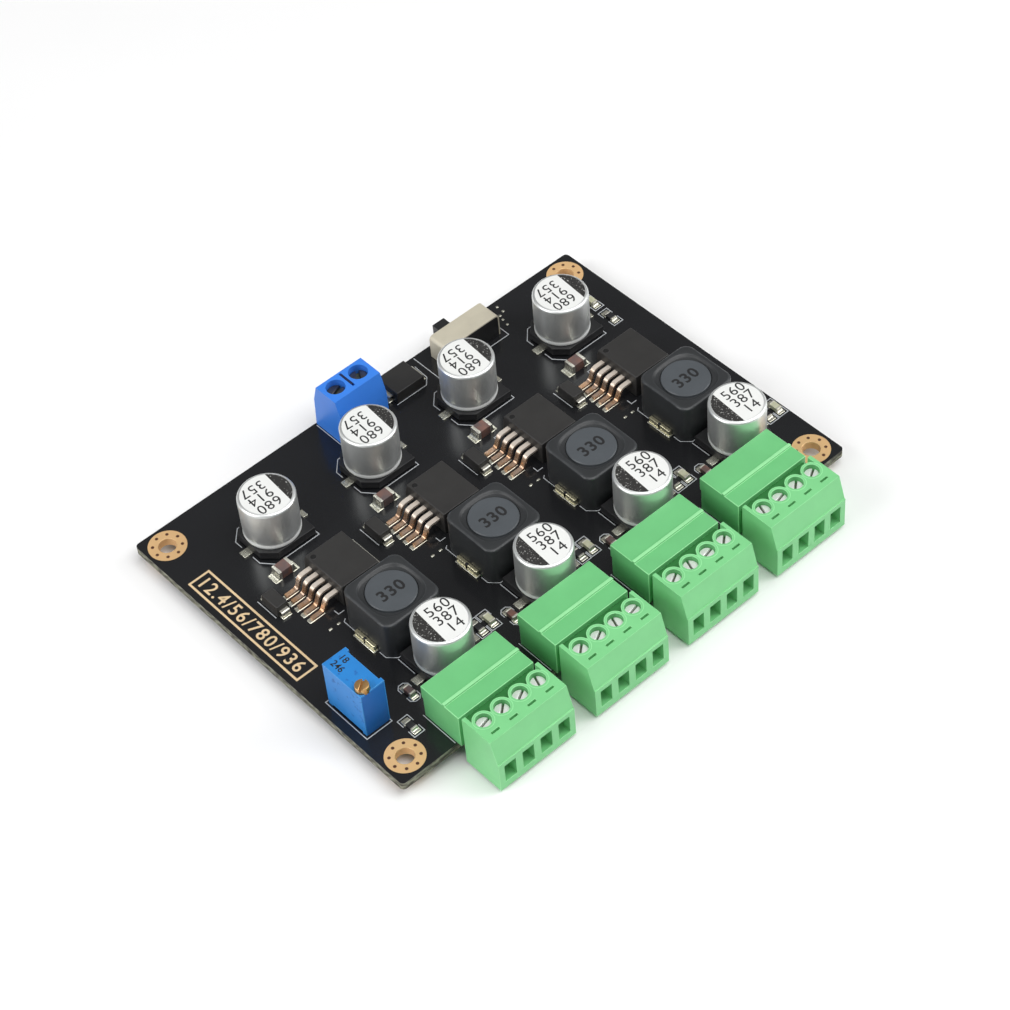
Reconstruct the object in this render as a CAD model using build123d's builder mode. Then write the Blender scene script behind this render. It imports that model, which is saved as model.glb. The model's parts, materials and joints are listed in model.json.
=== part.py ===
"""Four-channel buck converter board with pluggable outputs.

The origin is under the middle of the board. +Z is up, the plugs point to -Y and X runs along them.
All sizes are in millimetres and degrees.
"""

import os

from build123d import *

os.makedirs("parts", exist_ok=True)

# Circuit board
board_length = 100
board_width = 70
board_thickness = 1.6
board_corner = 0.8
hole_margin = 4
mounting_hole_radius = 1.6
pin_stub = 1.9

# Where the four channels and the four outputs stand
channel_count = 4
channel_left_margin = 0.208 * board_length
channel_right_margin = 0.123 * board_length
output_left_margin = 0.195 * board_length
output_right_margin = 0.187 * board_length

# Pluggable outputs, shared by header and plug
pole_count = 4
pole_pitch = 3.81
pin_size = 1.0
pin_level = 3.3
pin_setback = 1.2
plug_clearance = 0.1

# Header
header_end = 2.235
header_overhang = 1.0
header_height = 7.25
header_wall = 0.8
header_roof = 1.05
header_floor = 0.9
header_rear_wall = 0.5
socket_depth = 6.7
socket_bulkhead = 0.9
rib_setback = 3.3
rib_width = 0.6
rib_height = 0.35
rear_step_height = 4.4
rear_step_depth = 0.3

# Plug
plug_side_overhang = 0.1
plug_reach = 9.15
plug_gap = 1.0
plug_height = 8.15
plug_drop = 2.8
plug_shoulder = 3.65
plug_slope_run = 1.55
window_band_step = 0.2
plug_side_wall = 0.7
nose_end_gap = 0.3
contact_clearance = 0.3
well_setback = 5.65
well_radius = 1.375
round_sides = 16
collar_wall = 0.475
ledge_drop = 2.0
ledge_setback = 0.5
test_slot_setback = 2.85
test_slot_length = 1.7
test_slot_width = 0.45
test_slot_depth = 1.2
wire_window_width = 2.4
wire_window_height = 3.9
wire_window_sill = 1.5
chamber_floor = 1.2
chamber_width = 3.2
chamber_depth = 3.2
chamber_headroom = 0.3

# Clamp and screw of one plug pole
clamp_clearance = 0.1
clamp_wall = 0.4
clamp_height = 4.9
screw_recess = 0.9
screw_radius = 1.3
screw_tip_gap = 0.1
screw_slot_width = 0.4
screw_slot_depth = 0.6
plug_slot_turns = (28, 72, 12, 40)

# Input terminal
terminal_centre_margin = 45.07
terminal_rear_margin = 0.2
terminal_pole_count = 2
terminal_pitch = 5.08
terminal_depth = 8.0
terminal_height = 10.2
terminal_front_shoulder = 6.3
terminal_front_run = 1.2
terminal_rear_shoulder = 6.6
terminal_rear_run = 1.6
terminal_draft = 0.5
terminal_well_setback = 4.05
terminal_well_radius = 1.75
divider_width = 0.5
divider_length = 4.0
divider_depth = 1.4
terminal_window_width = 3.6
terminal_window_height = 3.4
terminal_window_sill = 1.3
terminal_chamber_width = 4.1
terminal_chamber_depth = 3.5
terminal_chamber_floor = 0.7
terminal_clamp_wall = 0.6
terminal_clamp_height = 5.1
terminal_clamp_rise = 1.5
thread_clearance = 0.06
terminal_screw_recess = 1.2
terminal_head_radius = 1.66
terminal_head_height = 1.4
terminal_shank_radius = 1.25
terminal_shank_length = 3.0
terminal_slot_width = 0.6
terminal_slot_depth = 0.8
terminal_slot_turns = (20, 62)
tongue_width = 1.8
tongue_thickness = 0.6
tongue_level = 3.5
tongue_reach = 4.6

# Slide switch
switch_gap = 4.55
switch_rear_margin = 2.2
switch_length = 12.5
switch_width = 4.7
switch_height = 4.9
shell_thickness = 0.3
shell_bend = 0.9
tab_width = 1.4
knob_width = 2.7
knob_height = 2.3
knob_sill = 1.0
knob_overhang = 0.9
switch_travel = 3.2
slider_clearance = 0.1
slider_block_width = 4.4
slider_block_depth = 1.6
slider_block_height = 3.0
switch_front_wall = 0.8
switch_pin_pitch = 2.5
switch_pin_width = 0.6
switch_pin_count = 3

# Trimmer
trimmer_left_margin = 4.65
trimmer_front_margin = 15.95
trimmer_width = 4.9
trimmer_length = 9.5
trimmer_height = 10.0
trimmer_standoff = 0.4
trimmer_foot = 1.0
trimmer_rib = 0.85
trimmer_recess = 0.4
trimmer_screw_radius = 1.2
trimmer_screw_clearance = 0.07
trimmer_screw_rise = 1.0
trimmer_screw_depth = 2.0
trimmer_screw_left = 1.4
trimmer_screw_front = 1.2
trimmer_slot_width = 0.4
trimmer_slot_depth = 0.6
trimmer_slot_turn = 35
trimmer_pin_size = 0.5
trimmer_pin_pitch = 2.54
trimmer_pin_count = 3

# Capacitors
can_radius = 5.05
capacitor_height = 10.3
capacitor_base_width = 10.3
capacitor_base_height = 1.6
capacitor_base_chamfer = 2.2
capacitor_lead_width = 1.6
capacitor_lead_thickness = 0.3
capacitor_lead_reach = 1.7
capacitor_lead_inset = 3.0
output_capacitor_gap = 0.65
output_capacitor_shift = 0.4
input_capacitor_gap = 1.45
input_capacitor_shift = -2.4

# Inductors
inductor_width = 12.0
inductor_corner = 1.8
inductor_height = 8.0
inductor_gap = 0.85
core_radius = 4.45
core_groove = 0.2
core_recess = 0.2
core_depth = 1.6
clip_width = 5.0
clip_thickness = 0.7
clip_height = 1.2

# Regulators
regulator_gap = 2.35
regulator_width = 10.1
regulator_length = 8.4
regulator_height = 4.5
regulator_shift = 0.2
regulator_draft = 8
regulator_tab_width = 9.0
regulator_tab_reach = 1.4
regulator_tab_inset = 5.0
regulator_tab_thickness = 1.3
regulator_lead_count = 5
regulator_lead_pitch = 1.7
regulator_lead_width = 0.8
regulator_lead_thickness = 0.5
regulator_lead_exit = 2.4
regulator_lead_shoulder = 1.2
regulator_lead_fall = 2.6
regulator_lead_foot = 1.9

# Diodes
catch_diode_left = 12.05
catch_diode_setback = 1.95
catch_diode_width = 2.7
catch_diode_length = 4.4
catch_diode_height = 2.2
catch_lead_width = 1.6
catch_lead_reach = 0.7
input_diode_gap = 2.2
input_diode_rear_margin = 4.0
input_diode_length = 6.6
input_diode_width = 5.9
input_diode_height = 2.3
input_lead_width = 3.1
input_lead_reach = 0.75
diode_lead_thickness = 0.3
diode_lead_level = 0.9
diode_lead_inset = 0.9
diode_draft = 5

# Chips
large_chip = (3.2, 2.2, 1.8)
large_chip_left = 6.45
large_chip_setback = 2.95
small_chip = (2.0, 1.25, 0.9)
small_capacitor_offset = (-8.1, 5.0)
chip_resistor_height = 0.5
channel_resistor_offset = (8.6, 7.0)
channel_led_offset = (10.95, 7.05)
led_height = 0.8
front_resistor_place = (8.5, 7.8)
rear_resistor_place = (5.8, 18.0)
power_led_place = (5.6, 12.8)

left_edge = -board_length / 2
right_edge = board_length / 2
front_edge = -board_width / 2
rear_edge = board_width / 2
deck = board_thickness
on_deck = (Align.CENTER, Align.CENTER, Align.MIN)


def spread(left_margin, right_margin, count):
    """Positions along X, evenly spaced between two margins from the board's ends."""
    pitch = (board_length - left_margin - right_margin) / (count - 1)
    return [left_edge + left_margin + pitch * index for index in range(count)]


def row(centre, pitch, count):
    """Positions of a row of equal steps round its centre."""
    return [centre + pitch * (index - (count - 1) / 2) for index in range(count)]


def facing_front(y):
    """A plane across the board at y, its normal towards the plugs."""
    return Plane.XZ.offset(-y)


def save(piece, name):
    """Label a finished piece and write its file."""
    piece.part.label = name
    export_step(piece.part, f"parts/{name}.step")


def tube_section(width, height, wall):
    """A rectangular frame of even wall, drawn in the current sketch."""
    Rectangle(width, height)
    Rectangle(width - 2 * wall, height - 2 * wall, mode=Mode.SUBTRACT)


channel_centres = spread(channel_left_margin, channel_right_margin, channel_count)
output_centres = spread(output_left_margin, output_right_margin, channel_count)

# Heights and depths that header, pins and plug share
header_width = (pole_count - 1) * pole_pitch + 2 * header_end
header_front = front_edge - header_overhang
socket_back = header_front + socket_depth
pin_leg_front = socket_back + socket_bulkhead
pin_leg_centre = pin_leg_front + pin_size / 2
header_back = pin_leg_front + pin_size + header_rear_wall
header_top = deck + header_height
pin_centre_height = deck + pin_level
pin_front = header_front + pin_setback
socket_width = header_width - 2 * header_wall
socket_low = deck + header_floor
socket_high = header_top - header_roof
socket_middle = (socket_low + socket_high) / 2

plug_width = header_width + 2 * plug_side_overhang
plug_front = header_front - plug_reach
plug_back = header_front - plug_gap
plug_top = deck + plug_height
plug_bottom = deck - plug_drop
well_row = plug_front + well_setback
nose_end = socket_back - nose_end_gap
chamber_bottom = plug_bottom + chamber_floor
clamp_top = chamber_bottom + clamp_height
chamber_top = clamp_top + chamber_headroom

header_poles = [row(x, pole_pitch, pole_count) for x in output_centres]
pole_positions = [x for poles in header_poles for x in poles]

# Input terminal places
terminal_centre = left_edge + terminal_centre_margin
terminal_width = terminal_pole_count * terminal_pitch
terminal_back = rear_edge - terminal_rear_margin
terminal_front = terminal_back - terminal_depth
terminal_top = deck + terminal_height
terminal_well_row = terminal_front + terminal_well_setback
terminal_poles = row(terminal_centre, terminal_pitch, terminal_pole_count)
terminal_floor = deck + terminal_chamber_floor
terminal_chamber_height = terminal_clamp_height + terminal_clamp_rise + 2 * clamp_clearance
terminal_chamber_front = terminal_well_row - terminal_chamber_depth / 2
tongue_leg_centre = terminal_chamber_front - tongue_thickness / 2
tongue_height = terminal_floor + tongue_level

# Input diode places, to the right of the terminal
terminal_right = terminal_centre + terminal_width / 2
input_diode_left = terminal_right + input_diode_gap + input_lead_reach
input_diode_right = input_diode_left + input_diode_length
input_diode_centre = (
    (input_diode_left + input_diode_right) / 2,
    rear_edge - input_diode_rear_margin,
)

# Slide switch places, to the right of the input diode
switch_centre = input_diode_right + input_lead_reach + switch_gap + switch_length / 2
switch_back = rear_edge - switch_rear_margin
switch_front = switch_back - switch_width
switch_row = (switch_back + switch_front) / 2
switch_pins = row(switch_centre, switch_pin_pitch, switch_pin_count)
tab_offset = switch_length / 2 - shell_thickness / 2
knob_rest = switch_centre - switch_travel / 2
knob_height_centre = deck + knob_sill + knob_height / 2

# Trimmer places
trimmer_centre_x = left_edge + trimmer_left_margin
trimmer_centre_y = front_edge + trimmer_front_margin
trimmer_screw_centre = (
    trimmer_centre_x - trimmer_width / 2 + trimmer_screw_left,
    trimmer_centre_y - trimmer_length / 2 + trimmer_screw_front,
)
trimmer_pins_y = row(trimmer_centre_y, trimmer_pin_pitch, trimmer_pin_count)
trimmer_top = deck + trimmer_height

# Rows of the channels, each set from the one before it
output_capacitor_row = header_back + output_capacitor_gap + capacitor_base_width / 2
inductor_front = output_capacitor_row + capacitor_base_width / 2 + inductor_gap
inductor_row = inductor_front + inductor_width / 2
regulator_front = inductor_front + inductor_width + regulator_gap
regulator_row = regulator_front + regulator_width / 2
regulator_back = regulator_front + regulator_width
large_chip_row = regulator_back + large_chip_setback
large_chip_back = large_chip_row + large_chip[1] / 2
input_capacitor_row = large_chip_back + input_capacitor_gap + capacitor_base_width / 2
input_capacitors = [(x + input_capacitor_shift, input_capacitor_row) for x in channel_centres]
output_capacitors = [(x + output_capacitor_shift, output_capacitor_row) for x in channel_centres]
catch_diode_row = regulator_back - catch_diode_setback

# Circuit board, with a hole for every pin that passes through it
with BuildPart() as circuit_board:
    with BuildSketch():
        RectangleRounded(board_length, board_width, board_corner)
        with GridLocations(board_length - 2 * hole_margin, board_width - 2 * hole_margin, 2, 2):
            Circle(mounting_hole_radius, mode=Mode.SUBTRACT)
        with Locations(*[(x, pin_leg_centre) for x in pole_positions]):
            Rectangle(pin_size, pin_size, mode=Mode.SUBTRACT)
        with Locations(*[(x, tongue_leg_centre) for x in terminal_poles]):
            Rectangle(tongue_width, tongue_thickness, mode=Mode.SUBTRACT)
        with Locations(*[(x, switch_row) for x in switch_pins]):
            Rectangle(switch_pin_width, switch_pin_width, mode=Mode.SUBTRACT)
        with Locations(*[(switch_centre + side * tab_offset, switch_row) for side in (-1, 1)]):
            Rectangle(shell_thickness, tab_width, mode=Mode.SUBTRACT)
        with Locations(*[(trimmer_centre_x, y) for y in trimmer_pins_y]):
            Rectangle(trimmer_pin_size, trimmer_pin_size, mode=Mode.SUBTRACT)
    extrude(amount=board_thickness)
save(circuit_board, "circuit_board")

# Header: a socket open to the front, and behind its bulkhead a pocket for the pins' legs
for number, poles in enumerate(header_poles, 1):
    header_centre = output_centres[number - 1]
    rib_front = header_front + rib_setback
    with BuildPart() as header:
        with BuildSketch(Plane.YZ.offset(header_centre)):
            with BuildLine():
                Polyline(
                    (header_front, deck),
                    (header_front, header_top),
                    (rib_front, header_top),
                    (rib_front, header_top + rib_height),
                    (rib_front + rib_width, header_top + rib_height),
                    (rib_front + rib_width, header_top),
                    (header_back, header_top),
                    (header_back, deck + rear_step_height),
                    (header_back - rear_step_depth, deck + rear_step_height),
                    (header_back - rear_step_depth, deck),
                    close=True,
                )
            make_face()
        extrude(amount=header_width / 2, both=True)
        with BuildSketch(facing_front(header_front)):
            with Locations((header_centre, socket_middle)):
                Rectangle(socket_width, socket_high - socket_low)
        extrude(amount=-socket_depth, mode=Mode.SUBTRACT)
        with BuildSketch(Plane.XY.offset(deck)):
            with Locations((header_centre, pin_leg_centre)):
                Rectangle(socket_width, pin_size)
        extrude(amount=pin_level + pin_size / 2, mode=Mode.SUBTRACT)
        with BuildSketch(facing_front(socket_back)):
            with Locations(*[(x, pin_centre_height) for x in poles]):
                Rectangle(pin_size, pin_size)
        extrude(amount=-socket_bulkhead, mode=Mode.SUBTRACT)
    save(header, f"header_{number}")

# Header pins: square wire, bent down behind the bulkhead and through the board
with BuildPart() as header_pins:
    for x in pole_positions:
        with BuildSketch(Plane.YZ.offset(x)):
            with BuildLine():
                Polyline(
                    (pin_front, pin_centre_height - pin_size / 2),
                    (pin_front, pin_centre_height + pin_size / 2),
                    (pin_leg_front + pin_size, pin_centre_height + pin_size / 2),
                    (pin_leg_front + pin_size, -pin_stub),
                    (pin_leg_front, -pin_stub),
                    (pin_leg_front, pin_centre_height - pin_size / 2),
                    close=True,
                )
            make_face()
        extrude(amount=pin_size / 2, both=True)
save(header_pins, "header_pins")

# Plug: a sloped front above the window band, a ledge round the well collars, a nose in the socket
for number, poles in enumerate(header_poles, 1):
    plug_centre = output_centres[number - 1]
    wells = [(x, well_row) for x in poles]
    with BuildPart() as plug:
        with BuildSketch(Plane.YZ.offset(plug_centre)):
            with BuildLine():
                Polyline(
                    (plug_front, plug_bottom),
                    (plug_front, deck + plug_shoulder),
                    (plug_front + window_band_step, deck + plug_shoulder),
                    (plug_front + plug_slope_run, plug_top),
                    (plug_back, plug_top),
                    (plug_back, plug_bottom),
                    close=True,
                )
            make_face()
        extrude(amount=plug_width / 2, both=True)
        with BuildSketch(Plane.XY.offset(plug_top)):
            ledge_front = well_row + ledge_setback
            with Locations((plug_centre, (ledge_front + plug_back) / 2)):
                Rectangle(plug_width - 2 * plug_side_wall, plug_back - ledge_front)
            with Locations(*wells):
                Circle(well_radius + collar_wall, mode=Mode.SUBTRACT)
        extrude(amount=-ledge_drop, mode=Mode.SUBTRACT)
        with BuildSketch(facing_front(plug_back)):
            with Locations((plug_centre, socket_middle)):
                Rectangle(
                    socket_width - 2 * plug_clearance,
                    socket_high - socket_low - 2 * plug_clearance,
                )
        extrude(amount=plug_back - nose_end)
        with BuildSketch(Plane.XY.offset(plug_top)):
            with Locations(*wells):
                RegularPolygon(well_radius, round_sides, major_radius=False)
        extrude(amount=chamber_top - plug_top, mode=Mode.SUBTRACT)
        with BuildSketch(Plane.XY.offset(chamber_top)):
            with Locations(*wells):
                Rectangle(chamber_width, chamber_depth)
        extrude(amount=chamber_bottom - chamber_top, mode=Mode.SUBTRACT)
        with BuildSketch(Plane.XY.offset(plug_top)):
            with Locations(*[(x, plug_front + test_slot_setback) for x in poles]):
                Rectangle(test_slot_length, test_slot_width)
        extrude(amount=-test_slot_depth, mode=Mode.SUBTRACT)
        with BuildSketch(facing_front(plug_front)):
            window_middle = plug_bottom + wire_window_sill + wire_window_height / 2
            with Locations(*[(x, window_middle) for x in poles]):
                Rectangle(wire_window_width, wire_window_height)
        extrude(amount=-well_setback, mode=Mode.SUBTRACT)
        with BuildSketch(facing_front(nose_end)):
            with Locations(*[(x, pin_centre_height) for x in poles]):
                contact_size = pin_size + 2 * contact_clearance
                Rectangle(contact_size, contact_size)
        extrude(amount=nose_end - pin_front + contact_clearance, mode=Mode.SUBTRACT)
    save(plug, f"plug_{number}")

    with BuildPart() as clamps:
        clamp_width = chamber_width - 2 * clamp_clearance
        clamp_depth = chamber_depth - 2 * clamp_clearance
        with BuildSketch(facing_front(well_row - clamp_depth / 2)):
            with Locations(*[(x, (chamber_bottom + clamp_top) / 2) for x in poles]):
                tube_section(clamp_width, clamp_height, clamp_wall)
        extrude(amount=-clamp_depth)
    save(clamps, f"plug_{number}_clamps")

    for place, well in enumerate(wells, 1):
        turn = plug_slot_turns[(place + number) % len(plug_slot_turns)]
        with BuildPart() as screw:
            with BuildSketch(Plane.XY.offset(clamp_top + screw_tip_gap)):
                with Locations(well):
                    RegularPolygon(screw_radius, round_sides)
            extrude(amount=plug_top - screw_recess - clamp_top - screw_tip_gap)
            with BuildSketch(Plane.XY.offset(plug_top - screw_recess)):
                with Locations(Location((*well, 0), (0, 0, turn))):
                    Rectangle(2 * well_radius, screw_slot_width)
            extrude(amount=-screw_slot_depth, mode=Mode.SUBTRACT)
        save(screw, f"plug_{number}_screw_{place}")

# Input terminal housing: wells above, wire windows behind, a chamber for each clamp
with BuildPart() as input_terminal_housing:
    terminal_wells = [(x, terminal_well_row) for x in terminal_poles]
    with BuildSketch(Plane.YZ.offset(terminal_centre)):
        with BuildLine():
            Polyline(
                (terminal_front, deck),
                (terminal_front, deck + terminal_front_shoulder),
                (terminal_front + terminal_front_run, terminal_top),
                (terminal_back - terminal_rear_run, terminal_top),
                (terminal_back - terminal_draft, deck + terminal_rear_shoulder),
                (terminal_back, deck),
                close=True,
            )
        make_face()
    extrude(amount=terminal_width / 2, both=True)
    with BuildSketch(Plane.XY.offset(terminal_top)):
        with Locations(*terminal_wells):
            Circle(terminal_well_radius)
    extrude(amount=terminal_floor + terminal_chamber_height - terminal_top, mode=Mode.SUBTRACT)
    with BuildSketch(Plane.XY.offset(terminal_floor)):
        with Locations(*terminal_wells):
            Rectangle(terminal_chamber_width, terminal_chamber_depth)
    extrude(amount=terminal_chamber_height, mode=Mode.SUBTRACT)
    with BuildSketch(Plane.XY.offset(terminal_top)):
        with Locations((terminal_centre, terminal_well_row)):
            Rectangle(divider_width, divider_length)
    extrude(amount=-divider_depth, mode=Mode.SUBTRACT)
    with BuildSketch(facing_front(terminal_well_row)):
        window_level = deck + terminal_window_sill + terminal_window_height / 2
        with Locations(*[(x, window_level) for x in terminal_poles]):
            Rectangle(terminal_window_width, terminal_window_height)
    extrude(amount=terminal_well_row - terminal_back, mode=Mode.SUBTRACT)
    with BuildSketch(Plane.XY.offset(deck)):
        with Locations(*[(x, tongue_leg_centre) for x in terminal_poles]):
            Rectangle(tongue_width, tongue_thickness)
    extrude(amount=tongue_height - deck, mode=Mode.SUBTRACT)
save(input_terminal_housing, "input_terminal_housing")

# Input terminal pins: a leg through the board and a tongue through the clamp's window
with BuildPart() as input_terminal_pins:
    for x in terminal_poles:
        with BuildSketch(Plane.YZ.offset(x)):
            leg_front = tongue_leg_centre - tongue_thickness / 2
            leg_back = tongue_leg_centre + tongue_thickness / 2
            with BuildLine():
                Polyline(
                    (leg_front, -pin_stub),
                    (leg_front, tongue_height),
                    (leg_front + tongue_reach, tongue_height),
                    (leg_front + tongue_reach, tongue_height - tongue_thickness),
                    (leg_back, tongue_height - tongue_thickness),
                    (leg_back, -pin_stub),
                    close=True,
                )
            make_face()
        extrude(amount=tongue_width / 2, both=True)
save(input_terminal_pins, "input_terminal_pins")

# Input terminal screws and the clamps that they lift
for place, x in enumerate(terminal_poles, 1):
    clamp_floor = terminal_floor + clamp_clearance
    clamp_width = terminal_chamber_width - 2 * clamp_clearance
    clamp_depth = terminal_chamber_depth - 2 * clamp_clearance
    with BuildPart() as clamp:
        with BuildSketch(facing_front(terminal_well_row - clamp_depth / 2)):
            with Locations((x, clamp_floor + terminal_clamp_height / 2)):
                tube_section(clamp_width, terminal_clamp_height, terminal_clamp_wall)
        extrude(amount=-clamp_depth)
        with BuildSketch(Plane.XY.offset(clamp_floor + terminal_clamp_height)):
            with Locations((x, terminal_well_row)):
                Circle(terminal_shank_radius + thread_clearance)
        extrude(amount=-terminal_clamp_wall, mode=Mode.SUBTRACT)
    save(clamp, f"input_terminal_clamp_{place}")

    head_top = terminal_top - terminal_screw_recess
    with BuildPart() as screw:
        with BuildSketch(Plane.XY.offset(head_top)):
            with Locations((x, terminal_well_row)):
                Circle(terminal_head_radius)
        extrude(amount=-terminal_head_height)
        with BuildSketch(Plane.XY.offset(head_top - terminal_head_height)):
            with Locations((x, terminal_well_row)):
                Circle(terminal_shank_radius)
        extrude(amount=-terminal_shank_length)
        with BuildSketch(Plane.XY.offset(head_top)):
            slot_place = Location((x, terminal_well_row, 0), (0, 0, terminal_slot_turns[place - 1]))
            with Locations(slot_place):
                Rectangle(2 * terminal_well_radius, terminal_slot_width)
        extrude(amount=-terminal_slot_depth, mode=Mode.SUBTRACT)
    save(screw, f"input_terminal_screw_{place}")



def arch(length, height, bend):
    """An outline for the current sketch: flat below, with its two upper corners bent."""
    with Locations((switch_centre, deck + height / 2)):
        block = Rectangle(length, height)
    fillet(block.vertices().group_by(Axis.Y)[-1], bend)


# Switch shell: a strip bent over the top and both ends, with a tab at each end
base_length = switch_length - 2 * shell_thickness
base_height = switch_height - shell_thickness
with BuildPart() as switch_shell:
    with BuildSketch(facing_front(switch_back)):
        arch(switch_length, switch_height, shell_bend)
    extrude(amount=switch_width)
    with BuildSketch(facing_front(switch_back)):
        arch(base_length, base_height, shell_bend - shell_thickness)
    extrude(amount=switch_width, mode=Mode.SUBTRACT)
    with BuildSketch(Plane.XY.offset(deck)):
        with Locations(*[(switch_centre + side * tab_offset, switch_row) for side in (-1, 1)]):
            Rectangle(shell_thickness, tab_width)
    extrude(amount=-deck - pin_stub)
save(switch_shell, "switch_shell")

# Switch base: fills the shell, with a slot behind the board's edge for the slider
with BuildPart() as switch_base:
    with BuildSketch(facing_front(switch_back)):
        arch(base_length, base_height, shell_bend - shell_thickness)
    extrude(amount=switch_width)
    with BuildSketch(facing_front(switch_back)):
        with Locations((switch_centre, knob_height_centre)):
            Rectangle(
                knob_width + switch_travel + 2 * slider_clearance,
                knob_height + 2 * slider_clearance,
            )
    extrude(amount=switch_front_wall, mode=Mode.SUBTRACT)
    with BuildSketch(facing_front(switch_back - switch_front_wall)):
        with Locations((switch_centre, knob_height_centre)):
            Rectangle(
                slider_block_width + switch_travel + 2 * slider_clearance,
                slider_block_height + 2 * slider_clearance,
            )
    extrude(amount=slider_block_depth + 2 * slider_clearance, mode=Mode.SUBTRACT)
save(switch_base, "switch_base")

# Switch slider: the block inside and the knob that reaches past the board's edge
with BuildPart() as switch_slider:
    with BuildSketch(facing_front(switch_back - switch_front_wall - slider_clearance)):
        with Locations((knob_rest, knob_height_centre)):
            Rectangle(slider_block_width, slider_block_height)
    extrude(amount=slider_block_depth)
    with BuildSketch(facing_front(rear_edge + knob_overhang)):
        with Locations((knob_rest, knob_height_centre)):
            Rectangle(knob_width, knob_height)
    extrude(amount=rear_edge + knob_overhang - switch_back + switch_front_wall + slider_clearance)
save(switch_slider, "switch_slider")

# Switch terminals
with BuildPart() as switch_terminals:
    with BuildSketch(Plane.XY.offset(-pin_stub)):
        with Locations(*[(x, switch_row) for x in switch_pins]):
            Rectangle(switch_pin_width, switch_pin_width)
    extrude(amount=deck + pin_stub)
save(switch_terminals, "switch_terminals")

# Trimmer body: stands on four feet, with one long side set back between its end ribs
with BuildPart() as trimmer_body:
    with BuildSketch(Plane.XY.offset(deck)):
        with Locations((trimmer_centre_x, trimmer_centre_y)):
            Rectangle(trimmer_width, trimmer_length)
        with Locations(
            (trimmer_centre_x + (trimmer_width - trimmer_recess) / 2, trimmer_centre_y)
        ):
            Rectangle(trimmer_recess, trimmer_length - 2 * trimmer_rib, mode=Mode.SUBTRACT)
    extrude(amount=trimmer_height)
    with BuildSketch(Plane.XY.offset(deck)):
        with Locations((trimmer_centre_x, trimmer_centre_y)):
            Rectangle(trimmer_width, trimmer_length - 2 * trimmer_foot)
            Rectangle(trimmer_width - 2 * trimmer_foot, trimmer_length)
    extrude(amount=trimmer_standoff, mode=Mode.SUBTRACT)
    with BuildSketch(Plane.XY.offset(trimmer_top)):
        with Locations(trimmer_screw_centre):
            Circle(trimmer_screw_radius + trimmer_screw_clearance)
    extrude(amount=-trimmer_screw_depth, mode=Mode.SUBTRACT)
save(trimmer_body, "trimmer_body")

# Trimmer screw: brass, seated on the floor of its bore
with BuildPart() as trimmer_screw:
    with BuildSketch(Plane.XY.offset(trimmer_top - trimmer_screw_depth)):
        with Locations(trimmer_screw_centre):
            Circle(trimmer_screw_radius)
    extrude(amount=trimmer_screw_depth + trimmer_screw_rise)
    with BuildSketch(Plane.XY.offset(trimmer_top + trimmer_screw_rise)):
        with Locations(Location((*trimmer_screw_centre, 0), (0, 0, trimmer_slot_turn))):
            Rectangle(3 * trimmer_screw_radius, trimmer_slot_width)
    extrude(amount=-trimmer_slot_depth, mode=Mode.SUBTRACT)
save(trimmer_screw, "trimmer_screw")

# Trimmer pins
with BuildPart() as trimmer_pins:
    with BuildSketch(Plane.XY.offset(-pin_stub)):
        with Locations(*[(trimmer_centre_x, y) for y in trimmer_pins_y]):
            Rectangle(trimmer_pin_size, trimmer_pin_size)
    extrude(amount=pin_stub + deck + trimmer_standoff)
save(trimmer_pins, "trimmer_pins")

# Capacitor cans
base_seat = deck + capacitor_lead_thickness
can_seat = base_seat + capacitor_base_height
for name, places in (("input", input_capacitors), ("output", output_capacitors)):
    with BuildPart() as cans:
        with BuildSketch(Plane.XY.offset(can_seat)):
            with Locations(*places):
                Circle(can_radius)
        extrude(amount=deck + capacitor_height - can_seat)
    save(cans, f"{name}_capacitor_cans")

# Capacitor bases: the two cut corners mark the end that carries the positive lead
with BuildPart() as capacitor_bases:
    for places, cut_side in ((input_capacitors, -1), (output_capacitors, 1)):
        half = capacitor_base_width / 2
        cut = capacitor_base_chamfer
        for x, y in places:
            with BuildSketch(Plane.XY.offset(base_seat)):
                with BuildLine():
                    Polyline(
                        (x - cut_side * half, y - half),
                        (x + cut_side * (half - cut), y - half),
                        (x + cut_side * half, y - half + cut),
                        (x + cut_side * half, y + half - cut),
                        (x + cut_side * (half - cut), y + half),
                        (x - cut_side * half, y + half),
                        close=True,
                    )
                make_face()
            extrude(amount=capacitor_base_height)
save(capacitor_bases, "capacitor_bases")

# Capacitor leads
with BuildPart() as capacitor_leads:
    lead_length = capacitor_lead_inset + capacitor_lead_reach
    lead_offset = capacitor_base_width / 2 + capacitor_lead_reach - lead_length / 2
    with BuildSketch(Plane.XY.offset(deck)):
        for x, y in input_capacitors + output_capacitors:
            with Locations((x - lead_offset, y), (x + lead_offset, y)):
                Rectangle(lead_length, capacitor_lead_width)
    extrude(amount=capacitor_lead_thickness)
save(capacitor_leads, "capacitor_leads")

# Inductor shields: square ring with a round pocket for the core
with BuildPart() as inductor_shields:
    inductors = [(x, inductor_row) for x in channel_centres]
    with BuildSketch(Plane.XY.offset(deck)):
        with Locations(*inductors):
            RectangleRounded(inductor_width, inductor_width, inductor_corner)
    extrude(amount=inductor_height)
    with BuildSketch(Plane.XY.offset(deck + inductor_height)):
        with Locations(*inductors):
            Circle(core_radius + core_groove)
    extrude(amount=-core_recess - core_depth, mode=Mode.SUBTRACT)
save(inductor_shields, "inductor_shields")

# Inductor cores
with BuildPart() as inductor_cores:
    with BuildSketch(Plane.XY.offset(deck + inductor_height - core_recess)):
        with Locations(*inductors):
            Circle(core_radius)
    extrude(amount=-core_depth)
save(inductor_cores, "inductor_cores")

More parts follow.
